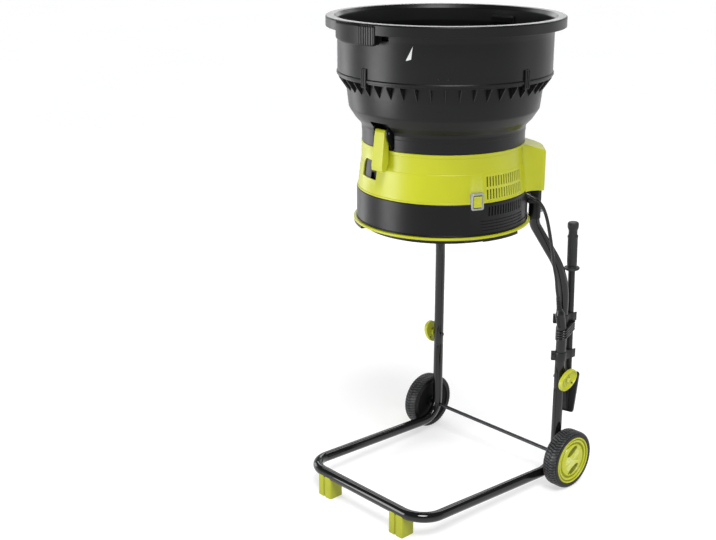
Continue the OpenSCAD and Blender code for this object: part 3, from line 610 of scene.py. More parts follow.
tabs = to_object("tabs", total(tab(a) for a in (-91.5, -1.5, 88.5, 178.5)))
soften(tabs, 0.5, 2)
pips = Geo()
for a in (-49.6, -44.7, 130.4, 135.3):
    c, sn = cos(radians(a)), sin(radians(a))
    rows = []
    for r, h in ((2.0, -1.5), (2.0, 0.5), (1.6, 0.95), (0.9, 1.2), (0.3, 1.25)):
        rows.append([((244 + h) * c - r * cos(q) * sn, AY + (244 + h) * sn + r * cos(q) * c, 1054 + r * sin(q)) for q in [2 * pi * k / 20 for k in range(20)]])
    pips = pips + loft(rows)
pip_ob = to_object("pips", pips)
dg_join = [up_ob, tabs, trough_ob, pip_ob]


def join(obs, name):
    bm = bmesh.new()
    for o in obs:
        bm.from_mesh(o.data)
    me = bpy.data.meshes.new(name)
    bm.to_mesh(me)
    bm.free()
    for o in obs:
        d = o.data
        bpy.data.objects.remove(o)
        bpy.data.meshes.remove(d)
    ob = bpy.data.objects.new(name, me)
    scene.collection.objects.link(ob)
    return ob


piece(join(dg_join, "hopper_ring_shell"), black_plastic, "hopper", ["hopper_upper"])


# handles: fluted pads that hang in the rim's lip
def handle(c):
    rows = []
    n = 224
    for i in range(n + 1):
        d = -13.0 + 28.0 * i / n                       # bearing from the handle's middle, degrees
        s = d * pi / 180 * 270                          # the same along the face, mm
        e0, e1 = s + 61.3, 70.7 - s                     # distance from either end
        zb = 1118.6
        if e0 < 46:
            zb += 9.5 * (1 - sqrt(max(0, 1 - (1 - e0 / 46) ** 2)))
        if e1 < 11:
            zb += 9.0 * (1 - sqrt(max(0, 1 - (1 - e1 / 11) ** 2)))
        ro = 272.0
        if 5.8 < d < 14.2:
            ph = (d - 5.8) / 8.4 * 6
            k = abs((ph % 1) - 0.5) * 2
            ro -= 1.5 * max(0.0, min(1.0, (k - 0.55) / 0.3))
        ends = min(1.0, min(e0, e1) / 2.0)
        ro -= 1.6 * (1 - ends) ** 2
        th = radians(c + d)
        pr = [(257.6, zb + 2.0), (258.6, zb + 0.5), (260, zb), (ro - 3.2, zb), (ro - 1.3, zb + 0.8), (ro - 0.3, zb + 2.4), (ro, zb + 5),
              (ro, 1157.0), (ro - 0.5, 1159.6), (ro - 1.9, 1162.3), (ro - 4.2, 1164.2), (ro - 7.2, 1165.1), (263.0, 1164.6), (262.5, 1150), (257.6, 1148)]
        rows.append([(r * cos(th), AY + r * sin(th), z) for r, z in pr])
    g = loft(rows)
    for e in (-1, 1):
        a = c + (14.5 if e > 0 else -12.5)
        fn = polar(a)
        g = g + prism(fillet([(244.3, 1127 if e > 0 else 1129, 1), (259, 1120.6 if e > 0 else 1128, 1), (259, 1147.5), (246.8, 1147.5)]), -1.6, 1.6,
                      lambda u, z, t, fn=fn: fn(u, t, z))
    return g


hob = to_object("rim_handles", handle(-94.5) + handle(85.5))
piece(hob, black_plastic, "hopper", ["hopper_handles"], angle=40)

# ------------------------------------------------------------------ hopper, lower funnel
prof = fillet([(236.5, 1052, .6), (239.8, 1052, .6), (239.8, 1036), (243.5, 1036, .6), (243.5, 1032.5, .8), (225, 1032.5, 1.2), (223, 1000, 60), (218.4, 960, 14),
               (204, 938, 5), (192, 925.3, 7), (188.9, 918, 2), (188.9, 909.5, .8), (188, 908.6, .5), (188, 882.3, .8), (183, 882.3, .4), (183, 866, .8), (179.5, 866, .8),
               (179.5, 884, 2), (184, 890, 4), (184.3, 917.5, 6), (201, 940.5, 5), (214.8, 961, 14), (219.5, 1000, 60), (221.3, 1036, 3), (236.5, 1041, 2)], True, 12)
low = to_object("funnel", revolve(prof, 224))
limit = [(0.01, 882.1), (187.6, 882.1), (187.6, 916), (188.4, 921), (191.6, 925.5), (203.4, 938), (210.6, 950), (0.01, 950)]
shell = to_object("pocket_boxes", pbox(-90, 175, 212, 64, 882.7, 948) + pbox(90, 175, 212, 64, 882.7, 948))
boolean(shell, revolve(limit, 160), "INTERSECT")
boolean(low, shell, "UNION")


def pocket(a):
    fn = polar(a)
    return prism(rrect(57, 59, 4, 15, 0, 915.0), 178.6, 218, lambda t, z, u: fn(u, t, z))


boolean(low, pocket(-90) + pocket(90))
fins = Geo()
for i in range(46):
    fn = polar(-54 + i * 360 / 46)
    fins = fins + prism(fillet([(222.4, 1033.4), (242.6, 1033.4), (242.6, 1030, 1.5), (224.2, 1003.4, 2), (222.0, 1001.5)], True, 25), -1.1, 1.1, lambda u, z, t, fn=fn: fn(u, t, z))
fin_ob = to_object("fins", fins)
cheeks = Geo()
for a in (-90, 90):
    fn = polar(a)
    for t0 in (-22, 19):
        cheeks = cheeks + prism(fillet([(178, 887), (188, 887, 2), (199, 906, 4), (203, 918, 4), (203, 928, 4), (199, 936.4, 3), (178, 936.4)], True, 15), t0, t0 + 3,
                                lambda u, z, t, fn=fn: fn(u, t, z))
cheek_ob = soften(to_object("cheeks", cheeks), 0.4, 1)
piece(join([low, fin_ob, cheek_ob], "hopper_funnel"), black_plastic, "hopper", ["hopper_lower"], weighted=False)


# ------------------------------------------------------------------ latch levers
def lever(a):
    fn = polar(a)
    out = fillet([(190.4, 921, 3), (191.4, 872, 30), (192.3, 855, 6), (200.8, 838.2, 3), (203.6, 836.5, 1.2), (207.5, 836.5, 2), (212.4, 838.2, 4), (213, 850, 8),
                  (206.5, 905, 60), (204.5, 924, 6), (201.5, 930, 4), (194, 930, 5)], True, 12)

    def f2(u, z, t):
        k = 0.90 + 0.10 * max(0.0, min(1.0, (925 - z) / 75))
        return fn(u, t * k, z)
    return prism(out, -17, 17, f2, 4)


def lever_panel(a):
    # a shallow thumb hollow across the lower pull end
    fn = polar(a)
    o = rrect(23, 34, 4, 15, 0, 872)
    return prism(o, 208.2, 222, lambda t, z, u: fn(u + (872 - z) * 0.105, t, z))


for side, a, body, node in (("front", -90, "front_lever", "front_latch"), ("rear", 90, "rear_lever", "rear_latch")):
    lv = soften(to_object(side + "_lever_body", lever(a)), 1.3, 3)
    piece(lv, lime_plastic, body, [node])


# ------------------------------------------------------------------ drum band with the leg boxes
def band_r(z):
    pts = [(773, 197.7), (838, 190), (872, 188.4), (882, 188)]
    for (z0, r0), (z1, r1) in zip(pts, pts[1:]):
        if z <= z1 or z1 == 882:
            return r0 + (r1 - r0) * (z - z0) / (z1 - z0)


prof = fillet([(198.9, 773, .9), (198.9, 776.4, .9), (197.2, 777.6, .5), (190.5, 837.3, .5), (189.7, 838.4, .5), (188.5, 873.6, .5), (189.3, 874.8, .6), (189.2, 882, 1.2), (184.6, 882, .8), (185.2, 872, 10), (187, 838, 3), (194.6, 773, .5)], True, 15)
band = to_object("band", revolve(prof, 256))
cuts = Geo()
for i in range(15):
    a = (i - 7) * 2.35 + 0.4
    fn = polar(a)
    for z in (780, 808):
        cuts = cuts + prism(fillet([(-1.7, z, 1.2), (1.7, z, 1.2), (1.7, z + 23, 1.2), (-1.7, z + 23, 1.2)], True, 30), 178, 206, lambda t, zz, u, fn=fn: fn(u, t, zz))
for a in (-106.8, 73.2):
    fn = polar(a)
    cuts = cuts + prism(fillet([(-32.5, 809, 4), (32.5, 809, 5), (32.5, 851, 4), (-32.5, 851, 20)], True, 10), 178, 206, lambda t, zz, u, fn=fn: fn(u, t, zz))
fn = polar(-24)
cuts = cuts + prism(rrect(30.6, 39.0, 4.9, 12, 0, 779), 178, 214, lambda t, zz, u: fn(u, t, zz))
boolean(band, cuts)


def box_outline(z, inset):
    """Plan of a leg box at one height: it flares into the round band, then turns two rounded corners, the back one rounder."""
    R = band_r(max(773, min(882, z))) if z > 773 else 200.4
    hw, D, rf = 46.0, 234.5, 28.0
    yc = hw + rf
    xc = sqrt((R + rf) ** 2 - yc ** 2)
    b0 = atan2(yc, xc)

    def half(rc):
        h = []
        for k in range(9):                               # flare, from the band to the side
            a = b0 + pi + (3 * pi / 2 - (b0 + pi)) * k / 8
            h.append((xc + rf * cos(a), yc + rf * sin(a), (cos(a), sin(a))))
        x1 = max(xc + 0.5, D - rc)
        for k in range(5):                               # side
            h.append((xc + (x1 - xc) * (k + 1) / 6, hw, (0, -1)))
        for k in range(11):                              # corner
            a = pi / 2 * (1 - k / 10)
            h.append((D - rc + rc * cos(a), hw - rc + rc * sin(a), (-cos(a), -sin(a))))
        for k in range(1, 6):                            # face, up to its middle
            h.append((D, (hw - rc) * (1 - k / 5.0), (-1, 0)))
        return [(x + n[0] * inset, y + n[1] * inset) for x, y, n in h]
    ring = half(28.0) + [(x, -y) for x, y in reversed(half(8.0)[:-1])]
    q = degrees(atan2(ring[0][1], ring[0][0]))           # back of the box, hidden in the band's own wall
    for k in range(1, 12):
        a = radians(-q + 2 * q * k / 12)
        ring.append(((R - 1.5) * cos(a), (R - 1.5) * sin(a)))
    return ring


def leg_box(a, flip):
    fn = polar(a)

    def top(u):
        return 878.0 - (u - 186) * 14.0 / 48.0
    rows = []
    for z in (770, 770.8, 776, 790, 810, 830, 845, 855):
        rows.append([(u, t, z) for u, t in box_outline(z, 0.6 if z == 770 else 0.0)])
    rr = 4.0
    for k in range(7):
        p = pi / 2 * k / 6
        rows.append([(u, t, top(u) - rr + rr * sin(p)) for u, t in box_outline(861.0, rr * (1 - cos(p)))])
    outer = rows
    inner = []
    for z in (770, 790, 830, 850):
        inner.append([(u, t, z) for u, t in box_outline(z, 3.0)])
    inner.append([(u, t, top(u) - 3.2) for u, t in box_outline(861.0, 3.2)])
    v = [p for r in outer for p in r] + [p for r in inner for p in r]
    k = len(outer[0])
    f = []
    for i in range(len(outer) - 1):
        for j in range(k):
            f.append((i * k + j, i * k + (j + 1) % k, (i + 1) * k + (j + 1) % k, (i + 1) * k + j))
    f.append(tuple(range((len(outer) - 1) * k, len(outer) * k)))
    o = len(outer) * k
    for i in range(len(inner) - 1):
        for j in range(k):
            f.append((o + i * k + j, o + (i + 1) * k + j, o + (i + 1) * k + (j + 1) % k, o + i * k + (j + 1) % k))
    f.append(tuple(o + (len(inner) - 1) * k + j for j in range(k - 1, -1, -1)))
    for j in range(k):                                   # the open bottom's edge
        f.append((j, o + j, o + (j + 1) % k, (j + 1) % k))
    return Geo([fn(u, t * flip, z) for u, t, z in v], f)


boxes = to_object("boxes", leg_box(45, 1) + leg_box(135, -1))
piece(join([band, boxes], "motor_band"), lime_plastic, "stand", ["drum_band"], weighted=False)

# ------------------------------------------------------------------ lower drum housing and the rings under it
prof = fillet([(197, 700, .5), (201.6, 700, .6), (201.6, 703.0, .8), (200.2, 704.0, .6), (200, 773, 1.8), (184, 773, .5), (184, 864, .6), (180, 864, .6), (180, 700), (184, 700),
               (184, 769.5, .5), (197, 769.5, .5)], True, 15)
drum = to_object("drum", revolve(prof, 256))
cuts = Geo()
for i in range(14):
    fn = polar((i - 5) * 2.35 - 3.6)
    cuts = cuts + prism(fillet([(-1.6, 743, 1.2), (1.6, 743, 1.2), (1.6, 765, 1.2), (-1.6, 765, 1.2)], True, 30), 190, 206, lambda t, zz, u, fn=fn: fn(u, t, zz))
fn = polar(-24)
cuts = cuts + prism(rrect(30.6, 39.0, 4.9, 12, 0, 779), 178, 214, lambda t, zz, u: fn(u, t, zz))
boolean(drum, cuts)
ribs = Geo()
for z in (711, 718, 725, 732):
    ribs = ribs + revolve(fillet([(198.8, z), (206, z), (206, z + 2.6), (198.8, z + 2.6)]), 256, -21, 17)
boolean(drum, ribs)
# the lowest louvre runs on as an open slit
boolean(drum, revolve([(191, 711), (212, 711), (212, 713.6), (191, 713.6)], 256, 14, 60))
sock = Geo()
for a in (45, 135):
    fn = polar(a)
    ring = [(219 + 14.3 * cos(2 * pi * k / 56), 14.3 * sin(2 * pi * k / 56)) for k in range(56)]
    bore = [(219 + 12.78 * cos(2 * pi * k / 56), 12.78 * sin(2 * pi * k / 56)) for k in range(56)]
    sock = sock + loft([[fn(u, t, z) for u, t in r] for r, z in ((ring, 693), (ring, 764.6), (bore, 764.6), (bore, 693))], wrap=True)
    blk = prism(fillet([(198.4, -32), (225, -32, 5), (225, 32, 5), (198.4, 32)], True, 15), 736, 765, fn)
    sock = sock + blk
sob = soften(to_object("sockets", sock), 0.8, 2)
# floors of the finger recesses beside the latches, open in one lower corner
floors = Geo()
for a in (0, 180):
    floors = floors + revolve([(189.2, 806), (190.4, 806), (186.7, 838), (185.7, 855), (184.5, 855), (185.5, 838)], 360, a - 118.5, a - 105.2)
    floors = floors + revolve([(187.0, 825), (188.2, 825), (186.7, 838), (185.7, 855), (184.5, 855), (185.5, 838)], 360, a - 105.2, a - 95)
flo = to_object("recess_floors", floors)
piece(join([drum, sob, flo], "drum_casing"), drum_plastic, "stand", ["drum_housing"], weighted=False)
prof = fillet([(184.6, 694.3, .5), (207.8, 694.3, 2.2), (207.8, 699.7, 2.2), (184.6, 699.7, .5)], True, 12)
tr = to_object("trim_ring", revolve(prof, 224))
notch = Geo()
for a in (45, 135):
    fn = polar(a)
    notch = notch + loft([[fn(219 + 14.9 * cos(2 * pi * k / 56), 14.9 * sin(2 * pi * k / 56), z) for k in range(56)] for z in (688, 706)])
boolean(tr, notch)
piece(tr, lime_plastic, "stand", ["base_ring"], weighted=False)
prof = fillet([(180, 681, .8), (184, 681, .8), (184, 689, 1.5), (196, 689, .8), (196, 694), (184.3, 694), (184.3, 699.8), (180, 699.8, .5)], True, 15)
dr = to_object("bag_collar", revolve(prof, 192))
lugs = Geo()
for a in (-125, -5, 115):
    # lugs that hold the mouth of a bag
    lugs = lugs + revolve(fillet([(194, 687, .8), (206.6, 687, 1.5), (206.6, 693.6, .8), (194, 693.6, .5)], True, 20), 360, a - 15, a + 15)
dr = join([dr, soften(to_object("lugs", lugs), 0.5, 2, 60)], "bag_collar_ring")
piece(dr, drum_plastic, "stand", ["discharge_ring"])

# ------------------------------------------------------------------ switch
fn = polar(-24)


def on_switch(t, z, u):
    return fn(u, t, z + 779)


o_out, o_in = rrect(30, 38.4, 4.6, 10), rrect(21, 28.4, 2.4, 10)
k = len(o_out)
o_in = o_in if len(o_in) == k else rrect(21, 28.4, 2.4, 10)
def scaled(o, d):
    return [(x - (d if x > 0 else -d), y - (d if y > 0 else -d)) for x, y in o]
rows = [[on_switch(t, z, 186) for t, z in o_out], [on_switch(t, z, 201.6) for t, z in o_out], [on_switch(t, z, 202.8) for t, z in scaled(o_out, 0.5)],
        [on_switch(t, z, 203.5) for t, z in scaled(o_out, 1.6)], [on_switch(t, z, 203.2) for t, z in scaled(o_in, -0.9)], [on_switch(t, z, 202.2) for t, z in scaled(o_in, 0)],
        [on_switch(t, z, 191) for t, z in o_in], [on_switch(t, z, 186) for t, z in o_in]]
piece(("switch_frame", loft(rows, wrap=True)), grey_plastic, "stand", ["switch_bezel"], angle=50)
out = [(195, -12.3), (203.6, -12.3)]
for i in range(17):
    z = -12.3 + 24.6 * i / 16
    out.append((204.7 - 1.5 * (1 - (abs(z) / 12.3) ** 1.6), z))
out += [(203.6, 12.3), (195, 12.3)]
rk = soften(to_object("rocker_key", prism(out, -10, 10, lambda u, z, t: fn(u, t, z + 779))), 0.7, 2)
piece(rk, lime_plastic, "rocker", ["switch_rocker"])

# ------------------------------------------------------------------ stand: base, legs
path = bend_path([(205, 208, 249), (205, 208, 36.3), (198, -268, 60.4), (-198, -268, 60.4), (-205, 208, 36.3), (-205, 208, 249)], [0, 52, 60, 60, 52, 0], 5.0)
base = sweep(path, 12.7, 32)
for s in (-1, 1):
    ring = fillet([(12.3, 249), (12.3, 255, .4), (11.3, 255.4), (11.3, 311, .8), (10.0, 311), (10.0, 249)], True, 20)
    base = base + revolve(ring, 32, cx=s * 205, cy=208)
bo = to_object("base_tube", base)
piece(bo, black_paint, "stand", ["base_frame"], weighted=False)
ltop = (219 * cos(radians(45)), AY + 219 * sin(radians(45)))
for s, side in ((1, "right"), (-1, "left")):
    p = bend_path([(s * 205, 208, 255.2), (s * 205, 208, 545), (s * ltop[0], ltop[1], 679), (s * ltop[0], ltop[1], 757)], [0, 220, 45, 0], 4.0)
    lg = to_object(side + "_leg_tube", sweep(p, 12.7, 32, inner=11.4))
    soften(lg, 0.35, 2, 60)
    piece(lg, black_paint, "stand", [side + "_leg"], weighted=False)


# ------------------------------------------------------------------ wheels
def wheel_map(s):
    return lambda r, a, w: (s * (222 + w), 208 + r * cos(a), 73.4 + r * sin(a))


def wheel(s):
    fn = wheel_map(s)
    prof = fillet([(4.79, 0, .3), (16, 0, .8), (16, 2.6, .5), (56.5, 2.6, .8), (58.0, 0, .8), (68.6, 0, 1.8), (71.2, 2.8, 2.0), (71.6, 6.0, 3), (71.6, 34.0, 3), (71.2, 37.2, 2.0),
                   (68.6, 40, 1.8), (60.4, 40, .6), (60.1, 33, .3), (57, 33, .5), (52, 12, 1), (16, 12, 1), (16, 29, .5), (4.79, 29, .3)], True, 15)
    n = 144
    g = loft([[fn(r, 2 * pi * i / n, w) for r, w in prof] for i in range(n)], wrap=True)
    # raised tread: two slanted rows of blocks that run over the shoulders, with a row of small blocks between
    N = 58
    for i in range(N):
        for row, (ws, lean) in enumerate((((1.6, 4.6, 8.5, 17.2), 0.7), ((38.4, 35.4, 31.5, 22.8), 0.7))):
            a0 = 2 * pi * (i + 0.5 * row) / N
            da = 2 * pi / N * 0.66
            rowsl = []
            for k, w in enumerate(ws):
                hi = (71.2, 72.8, 73.4, 73.4)[k]
                lo = (69.4, 70.8, 71.0, 71.0)[k]
                sh = lean * 2 * pi / N * (k / 3)
                rowsl.append([fn(rr, a0 + sh + da * aa, w) for rr, aa in ((lo, 0), (hi - .5, 0.0), (hi, .07), (hi, .5), (hi, .93), (hi - .5, 1), (lo, 1))])
            g = g + loft(rowsl)
        a0 = 2 * pi * (i + 0.85) / N
        da = 2 * pi / N * 0.62
        g = g + loft([[fn(rr, a0 + da * aa, w) for rr, aa in ((70.8, 0), (73.0, 0.0), (73.4, .07), (73.4, .93), (73.0, 1), (70.8, 1))] for w in (18.4, 21.6)])
    return g


def cap(s):
    fn = wheel_map(s)
    prof = fillet([(0.01, 39.2), (30, 39.2, 30), (40.6, 38.4, 3), (42.6, 34.6, 1.0), (46.4, 34.6, 1.0), (47.6, 38.4, 1.0), (49.8, 38.8, 1.0), (52.6, 38.2, .6), (53.2, 36.4, .4), (55.2, 36.4, .4),
                   (55.8, 39.6, .6), (56.6, 40.6, .8), (58.8, 40.6, .9), (59.7, 39.4, .7), (59.7, 33.2, .5), (57.5, 33.2, .4), (57, 33.4, .5), (14, 33.2), (12, 33.4), (0.01, 33.4)], True, 12)
    n = 144
    ob = to_object("cap", loft([[fn(r, 2 * pi * i / n, w) for r, w in prof] for i in range(n)], wrap=True))
    lens, tilt = Geo(), radians(27)
    for e in (-1, 1):
        rows = []
        for w, k in ((34.6, 0.80), (35.0, 0.90), (38.6, 0.98), (39.6, 1.05), (46, 1.05)):
            pts = []
            for i in range(32):
                q = 2 * pi * i / 32
                a = 22 * k * (abs(cos(q)) ** 0.9) * (1 if cos(q) >= 0 else -1)
                b = 8.2 * k * (abs(sin(q)) ** 1.25) * (1 if sin(q) >= 0 else -1) + e * 26.5
                y, z = a * cos(tilt) - b * sin(tilt) + e * 9, a * sin(tilt) + b * cos(tilt) + e * 2
                pts.append((s * (222 + w), 208 + y, 73.4 + z))
            rows.append(pts)
        lens = lens + loft(rows)
    boolean(ob, lens)
    soften(ob, 0.4, 2, 50)
    # the floors of the lens pockets and ring grooves take the darker lime copies: painted shade
    for f in ob.data.polygons:
        q = f.center / MM
        w, r = abs(q.x) - 222, sqrt((q.y - 208) ** 2 + (q.z - 73.4) ** 2)
        if 34.0 < w < 37.0 and r < 39.0:
            f.material_index = 1
        elif (34.3 < w < 37.2 and 42.0 < r < 47.0) or (36.0 < w < 37.6 and 52.8 < r < 55.6):
            f.material_index = 2
    return ob


for s, side in ((1, "right"), (-1, "left")):
    ty = to_object(side + "_tyre", wheel(s))
    # the disc between rim and hub is a flatter, darker moulding than the tread
    for f in ty.data.polygons:
        q = f.center / MM
        if abs(q.x) < 236 and 15.5 < sqrt((q.y - 208) ** 2 + (q.z - 73.4) ** 2) < 57.5:
            f.material_index = 1
    piece(ty, [wheel_rubber, web_plastic], side + "_roller", [side + "_wheel"], angle=38, weighted=False)
    c = cap(s)
    c.name = side + "_cap"
    piece(c, [lime_wheel, lime_painted_shade, lime_groove_painted_shade], side + "_roller", [side + "_hub_cap"], weighted=False)


# ------------------------------------------------------------------ feet
def foot(s):
    o = fillet([(101.5, -277.5, 6), (104.5, -280.6, 5), (121.0, -281, 5), (122.8, -278.2, 1.5), (126.2, -278.2, 1.5), (128.0, -281, 5), (144.5, -280.6, 5), (147.5, -277.5, 6),
                (147.5, -242.5, 6), (144, -240, 4), (105, -240, 4), (101.5, -242.5, 6)], True, 15)
    ob = to_object("foot", prism(o, 0, 57, lambda x, y, h: (s * x, y, h)))
    # the top falls away behind the tube
    boolean(ob, prism([(-262, 60), (-230, 60), (-230, 28.5), (-262, 58)], 90, 160, lambda y, z, x: (s * x, y, z)))
    soften(ob, 2.4, 4, 35)
    boolean(ob, sweep(bend_path([(s * 70, -268, 60.4), (s * 198, -268, 60.4), (s * 201, -64, 50.07)], [0, 60, 0], 5.0), 12.86, 40))
    return ob


fo = join([foot(1), foot(-1)], "feet_pair")
piece(fo, lime_foot, "stand", ["front_feet"], weighted=False)


# ------------------------------------------------------------------ knobs
def oval(a, b, n=72, e=2.3):
    out = []
    for i in range(n):
        t = 2 * pi * i / n
        c, q = cos(t), sin(t)
        out.append((a * abs(c) ** (2 / e) * (1 if c >= 0 else -1), b * abs(q) ** (2 / e) * (1 if q >= 0 else -1)))
    return out


def knob(s):
    tilt = radians(26 if s > 0 else -62)
    c, sn = cos(tilt), sin(tilt)

    def fn(a, b, x):
        return (s * x, 208 + a * c - b * sn, 282 + a * sn + b * c)
    rows = []
    for x, d in ((226.0, 2.0), (226.5, 0.8), (227.8, 0), (233.8, 0), (235.6, .5), (236.6, 1.3), (237.0, 2.4), (236.8, 3.4), (235.6, 4.2), (233.6, 5.2), (232.4, 7.0), (231.8, 10.0), (231.6, 14.0)):
        rows.append([fn(a, b, x) for a, b in oval(32.4 - d, 22.0 - d, 72, 2.2)])
    ob = to_object("knob", loft(rows))
    # a hanging hole near one end, and finger scallops in the dished face
    hole = spin([(0.01, 0), (2.7, 0), (2.7, 16), (0.01, 16)], fn(7.5, -16, 224), (s, 0, 0), 28)
    boolean(ob, hole)
    ribs = Geo()
    for a in (-16, -8, 8):
        ribs = ribs + prism(rrect(1.6, 22 - abs(a) * 0.35, .7, 25, a, 0), 230.8, 233.0, fn)
    extra = spin(fillet([(4.0, 0), (10, 0, .6), (10, 9.0), (4.0, 9.0)]), (s * 218.3, 208, 282), (s, 0, 0), 40)
    extra = extra + spin(fillet([(0.01, 0), (6.5, 0), (6.5, 3.0, .8), (0.01, 3.4)]), (s * 231.0, 208, 282), (s, 0, 0), 36)
    e = to_object("knob_stem", extra + ribs)
    return join([ob, e], ("right" if s > 0 else "left") + "_knob_grip")


for s, side in ((1, "right"), (-1, "left")):
    kn = piece(knob(s), lime_plastic, side + "_clamp", [side + "_knob"])
    stem = spin([(0.01, 0), (3.4, 0), (4.0, .6), (4.0, 36.6), (0.01, 36.6)], (s * 190.4, 208, 282), (s, 0, 0), 32)
    piece((side + "_knob_bolt", stem), dark_steel, side + "_clamp", ())


seats = Geo()
for s in (-1, 1):
    seats = seats + spin(fillet([(4.15, 0), (6.0, 0, .3), (5.4, 1.9, .8), (4.15, 2.1, .2)], True, 20), (s * 192.6, 208, 282), (-s, 0, 0), 32)
piece(("knob_seats", seats), dark_steel, "stand", ["knob_nuts"])


# ------------------------------------------------------------------ tamper clips and strap
SX, SY, SZ, SLEAN = 205.0, 238.4, 436.0, radians(2.1)


def stick_y(z):
    return SY + (SZ - z) * tan(SLEAN)


def leaned(x, y, z):
    """Tips a point of the upright tamper about the axis of its upper clip."""
    c, q = cos(SLEAN), sin(SLEAN)
    return (x, SY + (y - SY) * c - (z - SZ) * q, SZ + (y - SY) * q + (z - SZ) * c)


def arc(cx, cy, r, a0, a1, n):
    return [(cx + r * cos(radians(a0 + (a1 - a0) * i / n)), cy + r * sin(radians(a0 + (a1 - a0) * i / n))) for i in range(n + 1)]


def clip_geo(z0, z1):
    # plan around the leg's axis; the stick's cradle lies straight behind it, further out for the lower clip
    def ear(x, y):
        k = sqrt(0.5)
        return (k * (x + y), k * (y - x))
    cy = stick_y((z0 + z1) / 2) - 208
    ring = []
    ring += [ear(-1.5, -12.9), ear(-1.5, -22.8), ear(-5.0, -22.8), ear(-5.0, -13.5)]
    ring += arc(0, 0, 14.4, 204, 129, 10)
    ring += arc(0, cy, 11.6, 218, 180, 5)
    ring += [(-11.6, cy + 5.5), (-12.3, cy + 9.6), (-11.2, cy + 10.0), (-9.2, cy + 6.5)]
    ring += arc(0, cy, 9.1, 180, 360, 22)
    ring += [(9.2, cy + 6.5), (11.2, cy + 10.0), (12.3, cy + 9.6), (11.6, cy + 5.5)]
    ring += arc(0, cy, 11.6, 0, -38, 5)
    ring += arc(0, 0, 14.4, 51, -115, 20)
    ring += [ear(5.0, -13.5), ear(5.0, -22.8), ear(1.5, -22.8), ear(1.5, -12.9)]
    ring += arc(0, 0, 12.76, -128, 218, 44)
    return prism([(205 + x, 208 + y) for x, y in ring], z0, z1)


for name, z0, z1 in (("upper", 425, 447), ("lower", 328, 350)):
    ob = soften(to_object(name + "_clip_body", clip_geo(z0, z1)), 0.6, 2, 50)
    piece(ob, dark_plastic, "stand", [name + "_clip"], weighted=False)


def hull_pts(c0, r0, c1, r1, n=20):
    d = Vector(c1) - Vector(c0)
    a = atan2(d.y, d.x)
    k = acos((r0 - r1) / d.length)
    out = []
    for i in range(n + 1):
        t = a + k + (2 * pi - 2 * k) * i / n
        out.append((c0[0] + r0 * cos(t), c0[1] + r0 * sin(t)))
    for i in range(n + 1):
        t = a - k + 2 * k * i / n
        out.append((c1[0] + r1 * cos(t), c1[1] + r1 * sin(t)))
    return out


c0, c1 = (205, 208), (221.0, 186.8)


def wrap_pts(d, n=20):
    """Plan of the binding, d outside its bore: round the leg and the plug, with a tail drawn out along the front of the stick."""
    cs = [(205, 208, 12.78 + d), (221.0, 186.8, 12.62 + d), (219.0, 237.0, 0.6 + d)]
    pts = []
    for k in range(n * 6):
        a = 2 * pi * k / (n * 6)
        pts.append(max(((x + r * cos(a), y + r * sin(a)) for x, y, r in cs), key=lambda p: p[0] * cos(a) + p[1] * sin(a)))
    return pts


rows = []
ii = hull_pts(c0, 12.78, c1, 12.62, 59)
turns, zb, zt = 4, 396.0, 421.0


def slant(x, y):
    # the turns rise towards the stick
    return 0.26 * ((x - 205) * 0.68 + (y - 208) * 0.73 - 6)


for k in range(turns * 8 + 1):
    ph = (k % 8) / 8.0
    d = 0.25 + 2.2 * sin(pi * ph) ** 0.6 if 0 < k < turns * 8 else 0.25
    z = zb + (zt - zb) * k / (turns * 8)
    rows.append([(x, y, z + slant(x, y)) for x, y in wrap_pts(d)])
rows = rows + [[(x, y, zt + slant(x, y)) for x, y in ii], [(x, y, zb + slant(x, y)) for x, y in ii]]
st = to_object("plug_strap_band", loft(rows, wrap=True))
piece(st, cord_rubber, "stand", ["cord_strap"], angle=60, weighted=False)


# ------------------------------------------------------------------ tamper
def tamper_shaft():
    g = revolve(fillet([(0.01, 280, 0), (7.5, 280, 0), (8.3, 283, .5), (8.3, 570, .5), (0.01, 570, 0)], True, 20), 40, cx=SX, cy=SY)
    c, s = cos(radians(14)), sin(radians(14))

    def fn(x, y, z):
        return (SX + x * c - y * s, SY + x * s + y * c, z)
    # paddle: a dished blade with a rim and a spine, narrower at its foot
    out = fillet([(-16.2, 178, 4), (16.2, 178, 4), (29, 284, 5), (26, 290, 4), (-26, 290, 4), (-29, 284, 5)], True, 12)
    g = g + prism(out, -2.5, 2.5, lambda x, z, y: fn(x, y, z))
    inner = fillet([(-12.8, 182, 2.5), (12.8, 182, 2.5), (24.8, 282, 3.5), (23.4, 286, 3), (-23.4, 286, 3), (-24.8, 282, 3.5)], True, 12)
    if len(out) == len(inner):
        rows = [[fn(x, y, z) for x, z in o] for o, y in ((inner, -2), (inner, -4), (out, -4), (out, 4), (inner, 4), (inner, 2))]
        g = g + loft(rows, wrap=True)
    g = g + prism(fillet([(-4.0, -5, 1.5), (4.0, -5, 1.5), (4.0, 5, 1.5), (-4.0, 5, 1.5)]), 184, 286, lambda x, y, z: fn(x, y, z))
    return g.map(leaned)


ts = soften(to_object("tamper_bar", tamper_shaft()), 0.5, 2, 50)
piece(ts, dark_plastic, "tamper", ["tamper_shaft"], weighted=False)


